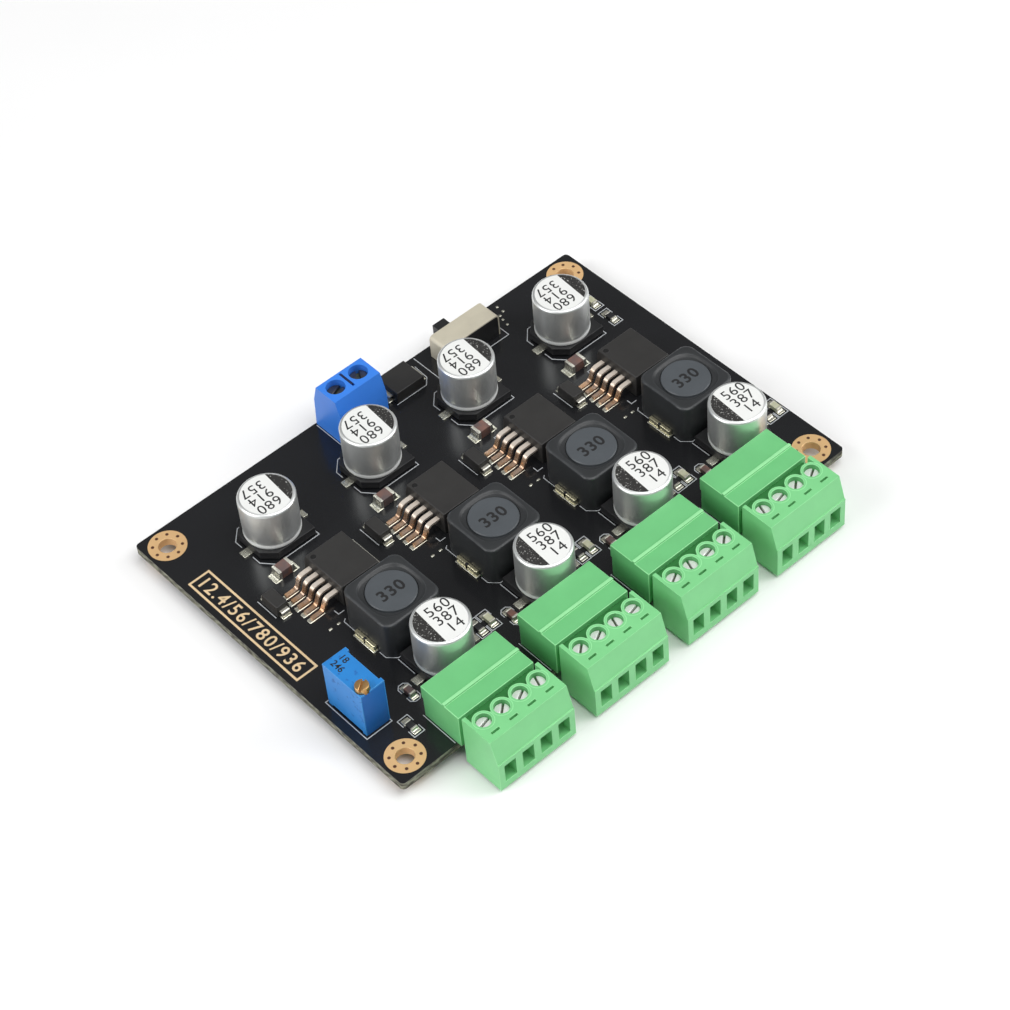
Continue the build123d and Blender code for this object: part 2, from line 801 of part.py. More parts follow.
# Inductor clips
with BuildPart() as inductor_clips:
    clip_offset = (inductor_width + clip_thickness) / 2
    with BuildSketch(Plane.XY.offset(deck)):
        for x, y in inductors:
            with Locations((x - clip_offset, y), (x + clip_offset, y)):
                Rectangle(clip_thickness, clip_width)
    extrude(amount=clip_height)
save(inductor_clips, "inductor_clips")

# Regulator bodies: moulded over the tab, with draft above the seam where the leads come out
regulator_centres = [(x + regulator_shift, regulator_row) for x in channel_centres]
regulator_seam = regulator_lead_exit + regulator_lead_thickness
tab_length = regulator_tab_inset + regulator_tab_reach
tab_middle = (regulator_length + regulator_tab_reach - regulator_tab_inset) / 2
with BuildPart() as regulator_bodies:
    with BuildSketch(Plane.XY.offset(deck)):
        with Locations(*regulator_centres):
            Rectangle(regulator_length, regulator_width)
    extrude(amount=regulator_seam)
    with BuildSketch(Plane.XY.offset(deck + regulator_seam)):
        with Locations(*regulator_centres):
            Rectangle(regulator_length, regulator_width)
    extrude(amount=regulator_height - regulator_seam, taper=regulator_draft)
    with BuildSketch(Plane.XY.offset(deck)):
        with Locations(*[(x + tab_middle, y) for x, y in regulator_centres]):
            Rectangle(tab_length, regulator_tab_width)
    extrude(amount=regulator_tab_thickness, mode=Mode.SUBTRACT)
save(regulator_bodies, "regulator_bodies")

# Regulator lead frames: the tab under each body and its five bent leads
with BuildPart() as regulator_lead_frames:
    with BuildSketch(Plane.XY.offset(deck)):
        with Locations(*[(x + tab_middle, y) for x, y in regulator_centres]):
            Rectangle(tab_length, regulator_tab_width)
    extrude(amount=regulator_tab_thickness)
    for x, y in regulator_centres:
        exit_x = x - regulator_length / 2
        shoulder_x = exit_x - regulator_lead_shoulder
        foot_x = shoulder_x - regulator_lead_fall
        toe_x = foot_x - regulator_lead_foot
        thick = regulator_lead_thickness
        lead_low = deck + regulator_lead_exit
        for lead_y in row(y, regulator_lead_pitch, regulator_lead_count):
            with BuildSketch(facing_front(lead_y)):
                with BuildLine():
                    Polyline(
                        (exit_x, lead_low),
                        (exit_x, lead_low + thick),
                        (shoulder_x - thick / 2, lead_low + thick),
                        (foot_x - thick / 2, deck + thick),
                        (toe_x, deck + thick),
                        (toe_x, deck),
                        (foot_x, deck),
                        (shoulder_x, lead_low),
                        close=True,
                    )
                make_face()
            extrude(amount=regulator_lead_width / 2, both=True)
save(regulator_lead_frames, "regulator_lead_frames")

# Catch diodes
catch_diode_centres = [(x - catch_diode_left, catch_diode_row) for x in channel_centres]
with BuildPart() as catch_diodes:
    with BuildSketch(Plane.XY.offset(deck)):
        with Locations(*catch_diode_centres):
            Rectangle(catch_diode_width, catch_diode_length)
    extrude(amount=catch_diode_height, taper=diode_draft)
    with BuildSketch(Plane.XY.offset(deck)):
        for x, y in catch_diode_centres:
            for side in (-1, 1):
                lead_y = y + side * (catch_diode_length - diode_lead_inset) / 2
                with Locations((x, lead_y)):
                    Rectangle(catch_lead_width, diode_lead_inset)
    extrude(amount=diode_lead_thickness, mode=Mode.SUBTRACT)
save(catch_diodes, "catch_diodes")

# Input diode
with BuildPart() as input_diode:
    with BuildSketch(Plane.XY.offset(deck)):
        with Locations(input_diode_centre):
            Rectangle(input_diode_length, input_diode_width)
    extrude(amount=input_diode_height, taper=diode_draft)
    with BuildSketch(Plane.XY.offset(deck)):
        x, y = input_diode_centre
        for side in (-1, 1):
            with Locations((x + side * (input_diode_length - diode_lead_inset) / 2, y)):
                Rectangle(diode_lead_inset, input_lead_width)
    extrude(amount=diode_lead_thickness, mode=Mode.SUBTRACT)
save(input_diode, "input_diode")


def folded_lead(side, body_length, reach):
    """Draw a lead that leaves the body's end, turns down to the board and folds back under the body."""
    body_end = side * body_length / 2
    tip = body_end + side * reach
    toe = body_end - side * diode_lead_inset
    inner = tip - side * diode_lead_thickness
    high = diode_lead_level + diode_lead_thickness
    Polygon(
        (body_end, diode_lead_level),
        (body_end, high),
        (tip, high),
        (tip, 0),
        (toe, 0),
        (toe, diode_lead_thickness),
        (inner, diode_lead_thickness),
        (inner, diode_lead_level),
        align=None,
    )


# Diode leads
with BuildPart() as diode_leads:
    for x, y in catch_diode_centres:
        with BuildSketch(Plane((x, y, deck), x_dir=(0, 1, 0), z_dir=(1, 0, 0))):
            for side in (-1, 1):
                folded_lead(side, catch_diode_length, catch_lead_reach)
        extrude(amount=catch_lead_width / 2, both=True)
    with BuildSketch(Plane((*input_diode_centre, deck), x_dir=(1, 0, 0), z_dir=(0, -1, 0))):
        for side in (-1, 1):
            folded_lead(side, input_diode_length, input_lead_reach)
    extrude(amount=input_lead_width / 2, both=True)
save(diode_leads, "diode_leads")

# Chip capacitors: a large one at each regulator's leads, a small one behind each header
with BuildPart() as chip_capacitors:
    with Locations(*[(x - large_chip_left, large_chip_row, deck) for x in channel_centres]):
        Box(*large_chip, align=on_deck)
    small_x, small_y = small_capacitor_offset
    with Locations(*[(x + small_x, header_back + small_y, deck) for x in channel_centres]):
        Box(small_chip[1], small_chip[0], small_chip[2], align=on_deck)
save(chip_capacitors, "chip_capacitors")

# Chip resistors
resistor_x, resistor_y = channel_resistor_offset
resistor_places = [(x + resistor_x, header_back + resistor_y) for x in channel_centres]
resistor_places.append((left_edge + front_resistor_place[0], front_edge + front_resistor_place[1]))
resistor_places.append((right_edge - rear_resistor_place[0], rear_edge - rear_resistor_place[1]))
with BuildPart() as chip_resistors:
    with BuildSketch(Plane.XY.offset(deck)):
        with Locations(*resistor_places):
            Rectangle(small_chip[1], small_chip[0])
    extrude(amount=chip_resistor_height)
save(chip_resistors, "chip_resistors")

# Indicator lights: one for each channel, and the power light at the rear
led_x, led_y = channel_led_offset
led_places = [(x + led_x, header_back + led_y) for x in channel_centres]
led_places.append((right_edge - power_led_place[0], rear_edge - power_led_place[1]))
with BuildPart() as indicator_lights:
    with BuildSketch(Plane.XY.offset(deck)):
        with Locations(*led_places):
            Rectangle(small_chip[1], small_chip[0])
    extrude(amount=led_height)
save(indicator_lights, "indicator_lights")
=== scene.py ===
"""Looks of the buck converter board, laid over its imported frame. Sizes here are in millimetres."""

import json
from math import cos, hypot, pi, radians, sin, tan

import bmesh
import bpy
import numpy as np
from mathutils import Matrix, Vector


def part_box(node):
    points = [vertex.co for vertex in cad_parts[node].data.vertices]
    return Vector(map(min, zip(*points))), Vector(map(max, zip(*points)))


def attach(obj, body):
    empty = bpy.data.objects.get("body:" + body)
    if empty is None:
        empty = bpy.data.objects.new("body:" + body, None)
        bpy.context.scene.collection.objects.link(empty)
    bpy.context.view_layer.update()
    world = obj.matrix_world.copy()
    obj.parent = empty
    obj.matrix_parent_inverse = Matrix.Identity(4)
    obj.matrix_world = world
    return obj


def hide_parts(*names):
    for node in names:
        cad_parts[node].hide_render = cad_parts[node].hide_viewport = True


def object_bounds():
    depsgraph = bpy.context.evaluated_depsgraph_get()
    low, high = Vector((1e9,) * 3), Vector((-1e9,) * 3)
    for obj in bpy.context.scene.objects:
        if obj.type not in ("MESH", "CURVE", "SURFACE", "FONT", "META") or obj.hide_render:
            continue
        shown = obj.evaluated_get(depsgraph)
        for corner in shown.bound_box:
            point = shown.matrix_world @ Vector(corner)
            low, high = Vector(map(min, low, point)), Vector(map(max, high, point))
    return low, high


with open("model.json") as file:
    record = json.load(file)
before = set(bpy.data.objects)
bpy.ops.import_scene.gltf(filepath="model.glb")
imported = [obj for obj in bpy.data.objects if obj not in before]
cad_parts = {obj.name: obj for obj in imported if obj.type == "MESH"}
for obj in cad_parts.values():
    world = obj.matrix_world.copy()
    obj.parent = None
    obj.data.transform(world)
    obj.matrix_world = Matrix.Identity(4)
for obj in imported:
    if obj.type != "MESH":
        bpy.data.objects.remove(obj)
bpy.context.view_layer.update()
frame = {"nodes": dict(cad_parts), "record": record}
MM = 0.001
PLUGS = range(1, 5)
POLES = range(1, 5)


# Shader wiring


class Wire:
    """An output of a shader node. Sums, differences and products of wires add Math nodes."""

    def __init__(self, finish, socket):
        self.finish = finish
        self.socket = socket

    def maths(self, operation, first, second=0.0):
        inputs = {0: first, 1: second}
        return self.finish.node("ShaderNodeMath", {"operation": operation}, inputs)

    def __add__(self, other):
        return self.maths("ADD", self, other)

    def __radd__(self, other):
        return self.maths("ADD", other, self)

    def __rsub__(self, other):
        return self.maths("SUBTRACT", other, self)

    def __mul__(self, other):
        return self.maths("MULTIPLY", self, other)

    def __rmul__(self, other):
        return self.maths("MULTIPLY", other, self)

    def above(self, level):
        """One where the value is above the level, and nought elsewhere."""
        return self.maths("GREATER_THAN", self, level)

    def between(self, low, high):
        """Rises from nought at low to one at high, and stays there."""
        inputs = {0: self, 1: low, 2: high}
        return self.finish.node("ShaderNodeMapRange", {"clamp": True}, inputs)


class Finish:
    """A material that is being wired up."""

    def __init__(self, name):
        self.material = bpy.data.materials.new(name)
        self.material.use_nodes = True
        self.tree = self.material.node_tree
        self.tree.nodes.clear()

    def node(self, kind, settings=None, inputs=None, output=0):
        """Add a node: settings first, then the values or wires of its sockets."""
        made = self.tree.nodes.new(kind)
        for key, value in (settings or {}).items():
            setattr(made, key, value)
        for key, value in (inputs or {}).items():
            if isinstance(value, Wire):
                self.tree.links.new(value.socket, made.inputs[key])
            else:
                made.inputs[key].default_value = value
        return Wire(self, made.outputs[output])

    def place(self):
        return self.node("ShaderNodeTexCoord", output="Object")

    def height(self):
        """Height above the board's underside, in metres."""
        return self.node("ShaderNodeSeparateXYZ", inputs={0: self.place()}, output=2)

    def noise(self, scale, detail=3.0, stretch=(1, 1, 1)):
        """Cloudy noise, scale cells to a metre, stretched along the axes."""
        where = self.node("ShaderNodeMapping", inputs={"Vector": self.place(), "Scale": stretch})
        inputs = {"Vector": where, "Scale": scale, "Detail": detail}
        return self.node("ShaderNodeTexNoise", inputs=inputs)

    def blend(self, share, first, second):
        """Colour first where the share is nought, and second where it is one."""
        inputs = {0: share, 6: rgba(first), 7: rgba(second)}
        return self.node("ShaderNodeMix", {"data_type": "RGBA"}, inputs, 2)

    def done(self, colour, roughness, metallic=0.0, relief=None, depth=0.0):
        """Close the material: relief is a height field that is depth metres high."""
        inputs = {"Base Color": rgba(colour), "Roughness": roughness, "Metallic": metallic}
        if relief is not None:
            bump = {"Height": relief, "Distance": depth, "Strength": 1.0}
            inputs["Normal"] = self.node("ShaderNodeBump", inputs=bump)
        shader = self.node("ShaderNodeBsdfPrincipled", inputs=inputs)
        surface = self.tree.nodes.new("ShaderNodeOutputMaterial").inputs["Surface"]
        self.tree.links.new(shader.socket, surface)
        return self.material


def rgba(colour):
    return colour if isinstance(colour, Wire) else (*colour, 1.0)


def scaled(colour, factor):
    return tuple(min(1.0, part * factor) for part in colour)


def plain(name, colour, roughness, metallic=0.0, drift=0.2, cells=250, grain=6000, depth=2e-6):
    """Even finish: its colour and gloss drift softly, and a fine grain roughens it."""
    finish = Finish(name)
    cloud = finish.noise(cells)
    fine = finish.noise(grain, detail=2.0)
    tint = finish.blend(cloud, scaled(colour, 1 - drift), scaled(colour, 1 + drift))
    gloss = roughness * (0.8 + 0.4 * fine)
    return finish.done(tint, gloss, metallic, fine, depth)


# Shapes


class Shape:
    """Points in millimetres, faces as lists of point numbers, and a finish number for each face."""

    def __init__(self, points, faces, finishes=0):
        self.points = np.asarray(points, float).reshape(-1, 3)
        self.faces = [list(face) for face in faces]
        self.finishes = list(finishes) if np.ndim(finishes) else [finishes] * len(self.faces)

    def __add__(self, other):
        shift = len(self.points)
        faces = self.faces + [[shift + point for point in face] for face in other.faces]
        points = np.vstack([self.points, other.points])
        return Shape(points, faces, self.finishes + other.finishes)

    def moved(self, x=0.0, y=0.0, z=0.0):
        return Shape(self.points + (x, y, z), self.faces, self.finishes)

    def turned(self, degrees):
        """Turned about the upright axis through the origin."""
        c, s = cos(radians(degrees)), sin(radians(degrees))
        turn = np.array([[c, s, 0], [-s, c, 0], [0, 0, 1]])
        return Shape(self.points @ turn, self.faces, self.finishes)

    def painted(self, finish):
        return Shape(self.points, self.faces, finish)

    def at(self, places):
        """One copy at each place, all in one shape."""
        places = np.asarray(places, float)
        places = np.pad(places, ((0, 0), (0, 3 - places.shape[1])))
        points = (self.points[None] + places[:, None]).reshape(-1, 3)
        shifts = len(self.points) * np.arange(len(places))
        faces = [[point + shift for point in face] for shift in shifts for face in self.faces]
        return Shape(points, faces, self.finishes * len(places))


def joined(shapes):
    whole = shapes[0]
    for shape in shapes[1:]:
        whole = whole + shape
    return whole


def skin(rings, looped=False):
    """Faces over a stack of closed rings, an array (rings, points, 3); flat caps close its ends."""
    rings = np.asarray(rings, float)
    rows, count = rings.shape[:2]
    row = np.arange(rows if looped else rows - 1)[:, None]
    column = np.arange(count)[None]
    after, above = (column + 1) % count, (row + 1) % rows
    corners = (row * count + column, row * count + after, above * count + after, above * count + column)
    faces = np.stack(corners, axis=-1).reshape(-1, 4).tolist()
    if not looped:
        faces.append(list(range(count))[::-1])
        faces.append([count * (rows - 1) + point for point in range(count)])
    return Shape(rings, faces)


def inside_out(shape):
    return Shape(shape.points, [face[::-1] for face in shape.faces], shape.finishes)


def flat_ring(outline, level):
    """An outline of (x, y) pairs laid at a height."""
    return np.pad(outline, ((0, 0), (0, 1)), constant_values=level)


def on_circle(angle):
    return np.stack([np.cos(angle), np.sin(angle)], axis=-1)


def round_ring(radius, count, level):
    """A circle of evenly spaced points; radius may be a number for each point."""
    angle = np.arange(count) * 2 * pi / count
    return flat_ring(np.stack([radius * np.cos(angle), radius * np.sin(angle)], axis=-1), level)


def lathe(profile, count=48, looped=False):
    """A profile of (radius, height) pairs carried round the upright axis in even steps."""
    return skin([round_ring(radius, count, level) for radius, level in profile], looped)


def rounded_outline(width, depth, corner, steps=5):
    """A rectangle whose corners are quarter circles: corner centre plus corner times cosine and sine."""
    angle = np.linspace(0, pi / 2, steps + 1)[None] + pi / 2 * np.arange(4)[:, None]
    x_side, y_side = np.array([1, -1, -1, 1]), np.array([1, 1, -1, -1])
    x = x_side[:, None] * (width / 2 - corner) + corner * np.cos(angle)
    y = y_side[:, None] * (depth / 2 - corner) + corner * np.sin(angle)
    return np.stack([x, y], axis=-1).reshape(-1, 2)


def drawn_in(width, depth, corner, levels, steps, least):
    """Stacked rounded outlines, each drawn in by its inset and laid at its height."""
    rings = []
    for inset, level in levels:
        inner_corner = max(corner - inset, least)
        outline = rounded_outline(width - 2 * inset, depth - 2 * inset, inner_corner, steps)
        rings.append(flat_ring(outline, level))
    return skin(rings)


def quarter_round(edge, top, steps=4):
    """Insets and heights along a quarter circle, from a wall up to a top."""
    return [(edge * (1 - cos(t)), top - edge * (1 - sin(t))) for t in np.linspace(0, pi / 2, steps)]


def rounded_block(width, depth, height, corner=0.3, edge=0.12, steps=5):
    """A block with upright walls and a rounded rim."""
    levels = [(0.0, 0.0), *quarter_round(edge, height)]
    return drawn_in(width, depth, corner, levels, steps, 0.02)


def mound(width, depth, height, reach=0.18, corner=0.15):
    """A flat-bottomed hump: it draws in by reach times (1 - cos t) as it rises by height times sin t."""
    turn = np.linspace(0, pi / 2, 4)
    levels = [(0.0, -0.005), *zip(reach * (1 - np.cos(turn)), height * np.sin(turn))]
    return drawn_in(width, depth, corner, levels, 3, 0.03)


def wedge(width, reach, height):
    """A hollow fillet against a wall at y = 0: y = reach (1 - sin t), z = height (1 - cos t), along X."""
    turn = np.linspace(0, pi / 2, 6)
    y = np.concatenate([[-0.05, -0.05], reach * (1 - np.sin(turn))[::-1]])
    z = np.concatenate([[0.0, height], height * (1 - np.cos(turn))[::-1]])
    sides = [np.stack([np.full_like(y, x), y, z], axis=-1) for x in (-width / 2, width / 2)]
    return inside_out(skin(sides))


def rounded_path(points, radius, steps=5):
    """A path of straight runs whose corners are replaced by arcs that touch both runs."""
    points = np.asarray(points, float)
    path = [points[0]]
    for before, corner, after in zip(points, points[1:], points[2:]):
        back, ahead = before - corner, after - corner
        back, ahead = back / np.linalg.norm(back), ahead / np.linalg.norm(ahead)
        half = np.arccos(np.clip(back @ ahead, -1, 1)) / 2
        reach = radius / tan(half)
        centre = corner + (back + ahead) / np.linalg.norm(back + ahead) * radius / sin(half)
        start, end = corner + back * reach - centre, corner + ahead * reach - centre
        share = np.linspace(0, 1, steps)[:, None]
        spread = np.arccos(np.clip(start @ end / radius**2, -1, 1))
        arc = (np.sin((1 - share) * spread) * start + np.sin(share * spread) * end) / sin(spread)
        path.extend(centre + arc)
    path.append(points[-1])
    return np.array(path)


def bent_strip(path, width, thickness):
    """A flat strip along a path of (x, z) pairs: a rectangle carried along it, square to its run."""
    path = np.asarray(path, float)
    run = np.gradient(path, axis=0)
    run /= np.linalg.norm(run, axis=1)[:, None]
    side = np.stack([-run[:, 1], run[:, 0]], axis=-1) * thickness / 2
    corners = []
    for lift, across in ((-1, -1), (-1, 1), (1, 1), (1, -1)):
        x, z = (path + lift * side).T
        corners.append(np.stack([x, np.full(len(path), across * width / 2), z], axis=-1))
    return inside_out(skin(np.stack(corners, axis=1)))


def printed_line(points, width=0.16, thickness=0.03, closed=False):
    """A thin raised line on a flat face: each side is the path moved by half the width, mitred."""
    points = np.asarray(points, float)
    run = np.roll(points, -1, axis=0) - points
    if not closed:
        run[-1] = run[-2]
    run /= np.linalg.norm(run, axis=1)[:, None]
    last = np.roll(run, 1, axis=0)
    if not closed:
        last[0] = run[0]
    across = np.stack([-(run + last)[:, 1], (run + last)[:, 0]], axis=-1)
    across /= (across * across).sum(axis=1)[:, None] / 2
    left, right = points + across * width / 2, points - across * width / 2
    section = ((right, 0.0), (right, thickness), (left, thickness), (left, 0.0))
    rims = [flat_ring(side, level) for side, level in section]
    return inside_out(skin(np.stack(rims, axis=1), looped=closed))


def lettering(text, height, thickness=0.03, spacing=1.0, bold=0.0):
    """Text as a thin mesh lying flat, its middle at the origin and reading along X."""
    curve = bpy.data.curves.new("lettering", "FONT")
    curve.body = text
    curve.size = height * 1.4
    curve.space_character = spacing
    curve.offset = bold
    curve.extrude = thickness / 2
    curve.resolution_u = 3
    curve.align_x = "CENTER"
    holder = placed("lettering", curve)
    bpy.context.view_layer.update()
    mesh = bpy.data.meshes.new_from_object(holder.evaluated_get(bpy.context.evaluated_depsgraph_get()))
    points = mesh_points(mesh)
    faces = [list(face.vertices) for face in mesh.polygons]
    bpy.data.objects.remove(holder)
    bpy.data.curves.remove(curve)
    bpy.data.meshes.remove(mesh)
    middle = (points.min(axis=0) + points.max(axis=0)) / 2
    return Shape(points - (*middle[:2], points[:, 2].min()), faces)


def mesh_points(mesh):
    points = np.empty(len(mesh.vertices) * 3)
    mesh.vertices.foreach_get("co", points)
    return points.reshape(-1, 3)


def placed(name, data):
    """A new object, linked into the scene."""
    thing = bpy.data.objects.new(name, data)
    bpy.context.scene.collection.objects.link(thing)
    return thing


def make_piece(name, shape, finishes, body="board", slot=None, stands_for=(), smooth=35):
    """Put a shape into the scene, riding on a body, with its finishes and a shading angle."""
    mesh = bpy.data.meshes.new(name)
    mesh.from_pydata((shape.points * MM).tolist(), [], shape.faces)
    for finish in finishes:
        mesh.materials.append(finish)
    mesh.polygons.foreach_set("material_index", shape.finishes)
    mesh.shade_smooth()
    mesh.set_sharp_from_angle(angle=radians(smooth))
    mesh.update()
    piece = placed(name, mesh)
    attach(piece, body)
    if stands_for:
        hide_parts(*stands_for)
    return piece


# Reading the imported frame


def node_shape(node):
    """A node's own mesh with its doubled points merged."""
    mesh = frame["nodes"][node].data
    merged, number = np.unique(np.round(mesh_points(mesh) / MM, 4), axis=0, return_inverse=True)
    number = number.reshape(-1)
    faces = [[int(number[point]) for point in face.vertices] for face in mesh.polygons]
    return Shape(merged, [face for face in faces if len(set(face)) == len(face)])


def solids_of(node):
    """The points of each separate solid in a node, from left to right. Points that share a face take
    the lowest number among them, again and again, until the numbers stand still."""
    shape = node_shape(node)
    first, other = np.array([(face[0], point) for face in shape.faces for point in face[1:]]).T
    label, before = np.arange(len(shape.points)), None
    while before is None or (label != before).any():
        before = label.copy()
        least = np.minimum(label[first], label[other])
        np.minimum.at(label, first, least)
        np.minimum.at(label, other, least)
    groups = [shape.points[label == number] for number in np.unique(label)]
    return sorted(groups, key=lambda points: tuple(points.min(axis=0)))


def boxes_of(node):
    """Low and high corners of each separate solid in a node."""
    return [(points.min(axis=0), points.max(axis=0)) for points in solids_of(node)]


def middles(node):
    return np.array([(low + high) / 2 for low, high in boxes_of(node)])


def feet(node):
    """Middles, along X and Y, of the parts of a node's solids that reach below the board."""
    below = [points[points[:, 2] < 0, :2] for points in solids_of(node)]
    return [(points.min(axis=0) + points.max(axis=0)) / 2 for points in below]


def node_corners(node):
    low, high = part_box(node)
    return np.array(low) / MM, np.array(high) / MM


def body_of_node(node):
    bodies = frame["record"]["behaviour"]["bodies"]
    return next(name for name, nodes in bodies.items() if node in nodes)


def slot_of_node(node):
    subparts = frame["record"]["subparts"]
    return next(part["material_slot"] for part in subparts if part["node"] == node)


def stand_in(name, node, shape, finishes, smooth=35):
    """A piece in place of a node, with the node's own body."""
    return make_piece(name, shape, finishes, body_of_node(node), slot_of_node(node), (node,), smooth)


def softened(node, finishes, edge=0.1):
    """Stand-in for a node: the same solid with its sharp edges rounded. A second finish, a painted highlight,
    goes on the edges.
    """
    piece = stand_in(f"{node}_finished", node, node_shape(node), finishes)
    sheet = bmesh.new()
    sheet.from_mesh(piece.data)
    bmesh.ops.dissolve_limit(sheet, angle_limit=radians(1), verts=sheet.verts, edges=sheet.edges)
    sheet.to_mesh(piece.data)
    sheet.free()
    rounding = piece.modifiers.new("rounding", "BEVEL")
    rounding.width = edge * MM
    rounding.segments = 2
    rounding.limit_method = "ANGLE"
    rounding.angle_limit = radians(30)
    rounding.use_clamp_overlap = True
    rounding.material = len(finishes) - 1


# Finishes


def solder_mask_finish():
    """Black mask, cloudy and faintly woven; the board's edge shows the layers of its glass laminate."""
    finish = Finish("solder_mask")
    height = finish.height()
    laminate = height.above(0.00005) * (1 - height.above(0.00155))
    cloud = finish.noise(60, detail=2.0)
    layers = finish.noise(700, detail=4.0, stretch=(1, 1, 3)).between(0.4, 0.62)
    mask_colour = finish.blend(cloud, (0.009, 0.0095, 0.0105), (0.013, 0.0135, 0.0155))
    edge_colour = finish.blend(layers, (0.035, 0.03, 0.018), (0.26, 0.26, 0.19))
    colour = finish.blend(laminate, mask_colour, edge_colour)
    gloss = 0.17 + 0.06 * cloud + 0.5 * laminate
    weave = finish.noise(1500, detail=2.0)
    return finish.done(colour, gloss, relief=weave, depth=1e-6)


def copper_lead_finish():
    """Bare copper with lighter clouds, and a painted highlight: a pale, less metallic tint over its raised
    shoulders.
    """
    finish = Finish("copper_lead")
    cloud = finish.noise(700, detail=2.0).between(0.35, 0.65)
    bare = finish.blend(cloud, (0.85, 0.5, 0.28), (0.86, 0.64, 0.5))
    # painted highlight over the shoulders, 3.6 to 4.4 mm up
    shoulder = finish.height().between(0.0036, 0.0044)
    tint = finish.blend(0.75 * shoulder, bare, (0.9, 0.86, 0.78))
    gloss = 0.2 + 0.1 * finish.noise(3000)
    return finish.done(tint, gloss, 0.9 - 0.45 * shoulder)


def chip_brown_finish():
    """Brown ceramic with redder clouds and a fine grain."""
    finish = Finish("chip_brown")
    cloud = finish.noise(500, detail=2.0)
    tint = finish.blend(cloud.between(0.35, 0.65), (0.11, 0.08, 0.078), (0.19, 0.092, 0.07))
    return finish.done(tint, 0.45, relief=finish.noise(6000), depth=4e-6)


def light_cream_finish():
    """Cream cap with darker clouds, which also dent it slightly."""
    finish = Finish("light_cream")
    cloud = finish.noise(1200, detail=1.0)
    tint = finish.blend(cloud, (0.38, 0.38, 0.24), (0.66, 0.66, 0.5))
    return finish.done(tint, 0.3, relief=cloud, depth=1e-5)


def trimmer_blue_finish():
    """Blue moulding with shallow, darker and duller pits."""
    finish = Finish("trimmer_blue")
    cloud = finish.noise(250)
    pits = finish.noise(1100, detail=2.0).between(0.62, 0.72)
    tint = finish.blend(cloud, (0.012, 0.18, 0.53), (0.02, 0.23, 0.62))
    tint = finish.blend(pits, tint, (0.01, 0.12, 0.4))
    return finish.done(tint, 0.46 + 0.1 * pits, relief=1 - pits, depth=2e-5)


def stripe_black_finish():
    """Black print, worn through in small specks."""
    finish = Finish("stripe_black")
    specks = finish.noise(3800, detail=3.0).between(0.62, 0.68)
    tint = finish.blend(specks, (0.022, 0.021, 0.02), (0.6, 0.6, 0.58))
    return finish.done(tint, 0.5)


solder_mask = solder_mask_finish()
copper_lead = copper_lead_finish()
chip_brown = chip_brown_finish()
light_cream = light_cream_finish()
trimmer_blue = trimmer_blue_finish()
stripe_black = stripe_black_finish()
header_green = plain("header_green", (0.145, 0.5, 0.19), 0.42, drift=0.08, depth=3e-6)
plug_green = plain("plug_green", (0.2, 0.6, 0.245), 0.42, drift=0.08, depth=3e-6)
# painted highlight: a lighter copy of the plug green for rounded edges, well rims and the header's rib
edge_green = plain("edge_green", (0.3, 0.74, 0.34), 0.4, drift=0.08)
shade_green = plain("shade_green", (0.035, 0.2, 0.05), 0.45, drift=0.1)
# painted shade: a darker plug green for the inside walls of the wells
well_green = plain("well_green", (0.1, 0.38, 0.13), 0.45, drift=0.1)
# painted highlight: a lighter blue for the trimmer's rounded edges
edge_blue = plain("edge_blue", (0.1, 0.36, 0.74), 0.4, drift=0.08)
terminal_blue = plain("terminal_blue", (0.04, 0.215, 0.76), 0.4, drift=0.08, depth=3e-6)
# painted shade: near-black blue for the terminal's slot
slot_blue = plain("slot_blue", (0.004, 0.012, 0.06), 0.6)
# painted shade: a darker trimmer blue for the trimmer's front face
shade_blue = plain("shade_blue", (0.006, 0.115, 0.42), 0.5, drift=0.12)
black_plastic = plain("black_plastic", (0.012, 0.012, 0.013), 0.45, depth=3e-6)
moulded_black = plain("moulded_black", (0.024, 0.023, 0.022), 0.5, drift=0.25, grain=9000, depth=4e-6)
mould_mark = plain("mould_mark", (0.012, 0.012, 0.012), 0.25, drift=0.1)
ferrite = plain("ferrite", (0.026, 0.028, 0.03), 0.42, drift=0.25, grain=5000, depth=5e-6)
# painted highlight: a lighter ferrite for the rounded top edges and the pocket's rim
ferrite_edge = plain("ferrite_edge", (0.038, 0.041, 0.044), 0.42, drift=0.4, cells=700)
ferrite_face = plain("ferrite_face", (0.07, 0.079, 0.088), 0.45, drift=0.15, grain=7000, depth=4e-6)
screw_steel = plain("screw_steel", (0.95, 0.95, 0.93), 0.35, 0.35, drift=0.08, cells=900)
slot_shadow = plain("slot_shadow", (0.1, 0.12, 0.08), 0.5, 0.3, cells=900)
dull_steel = plain("dull_steel", (0.13, 0.13, 0.14), 0.4, 0.9, drift=0.4, cells=900)
clamp_steel = plain("clamp_steel", (0.4, 0.4, 0.38), 0.35, 0.95, drift=0.15, cells=900)
tinned = plain("tinned", (0.72, 0.7, 0.62), 0.3, 0.88, cells=1200)
solder = plain("solder", (0.74, 0.73, 0.62), 0.26, 0.88, cells=1500, grain=2500, depth=2e-5)
clip_tin = plain("clip_tin", (0.78, 0.73, 0.5), 0.28, 0.85, drift=0.25, cells=900, grain=2500, depth=2e-5)
shell_steel = plain("shell_steel", (0.62, 0.575, 0.455), 0.5, 0.3, drift=0.12, cells=300)
brass = plain("brass", (0.62, 0.37, 0.15), 0.32, 0.85, drift=0.25, cells=900)
can_side = plain("can_side", (0.84, 0.86, 0.85), 0.42, 0.88, drift=0.03, cells=200)
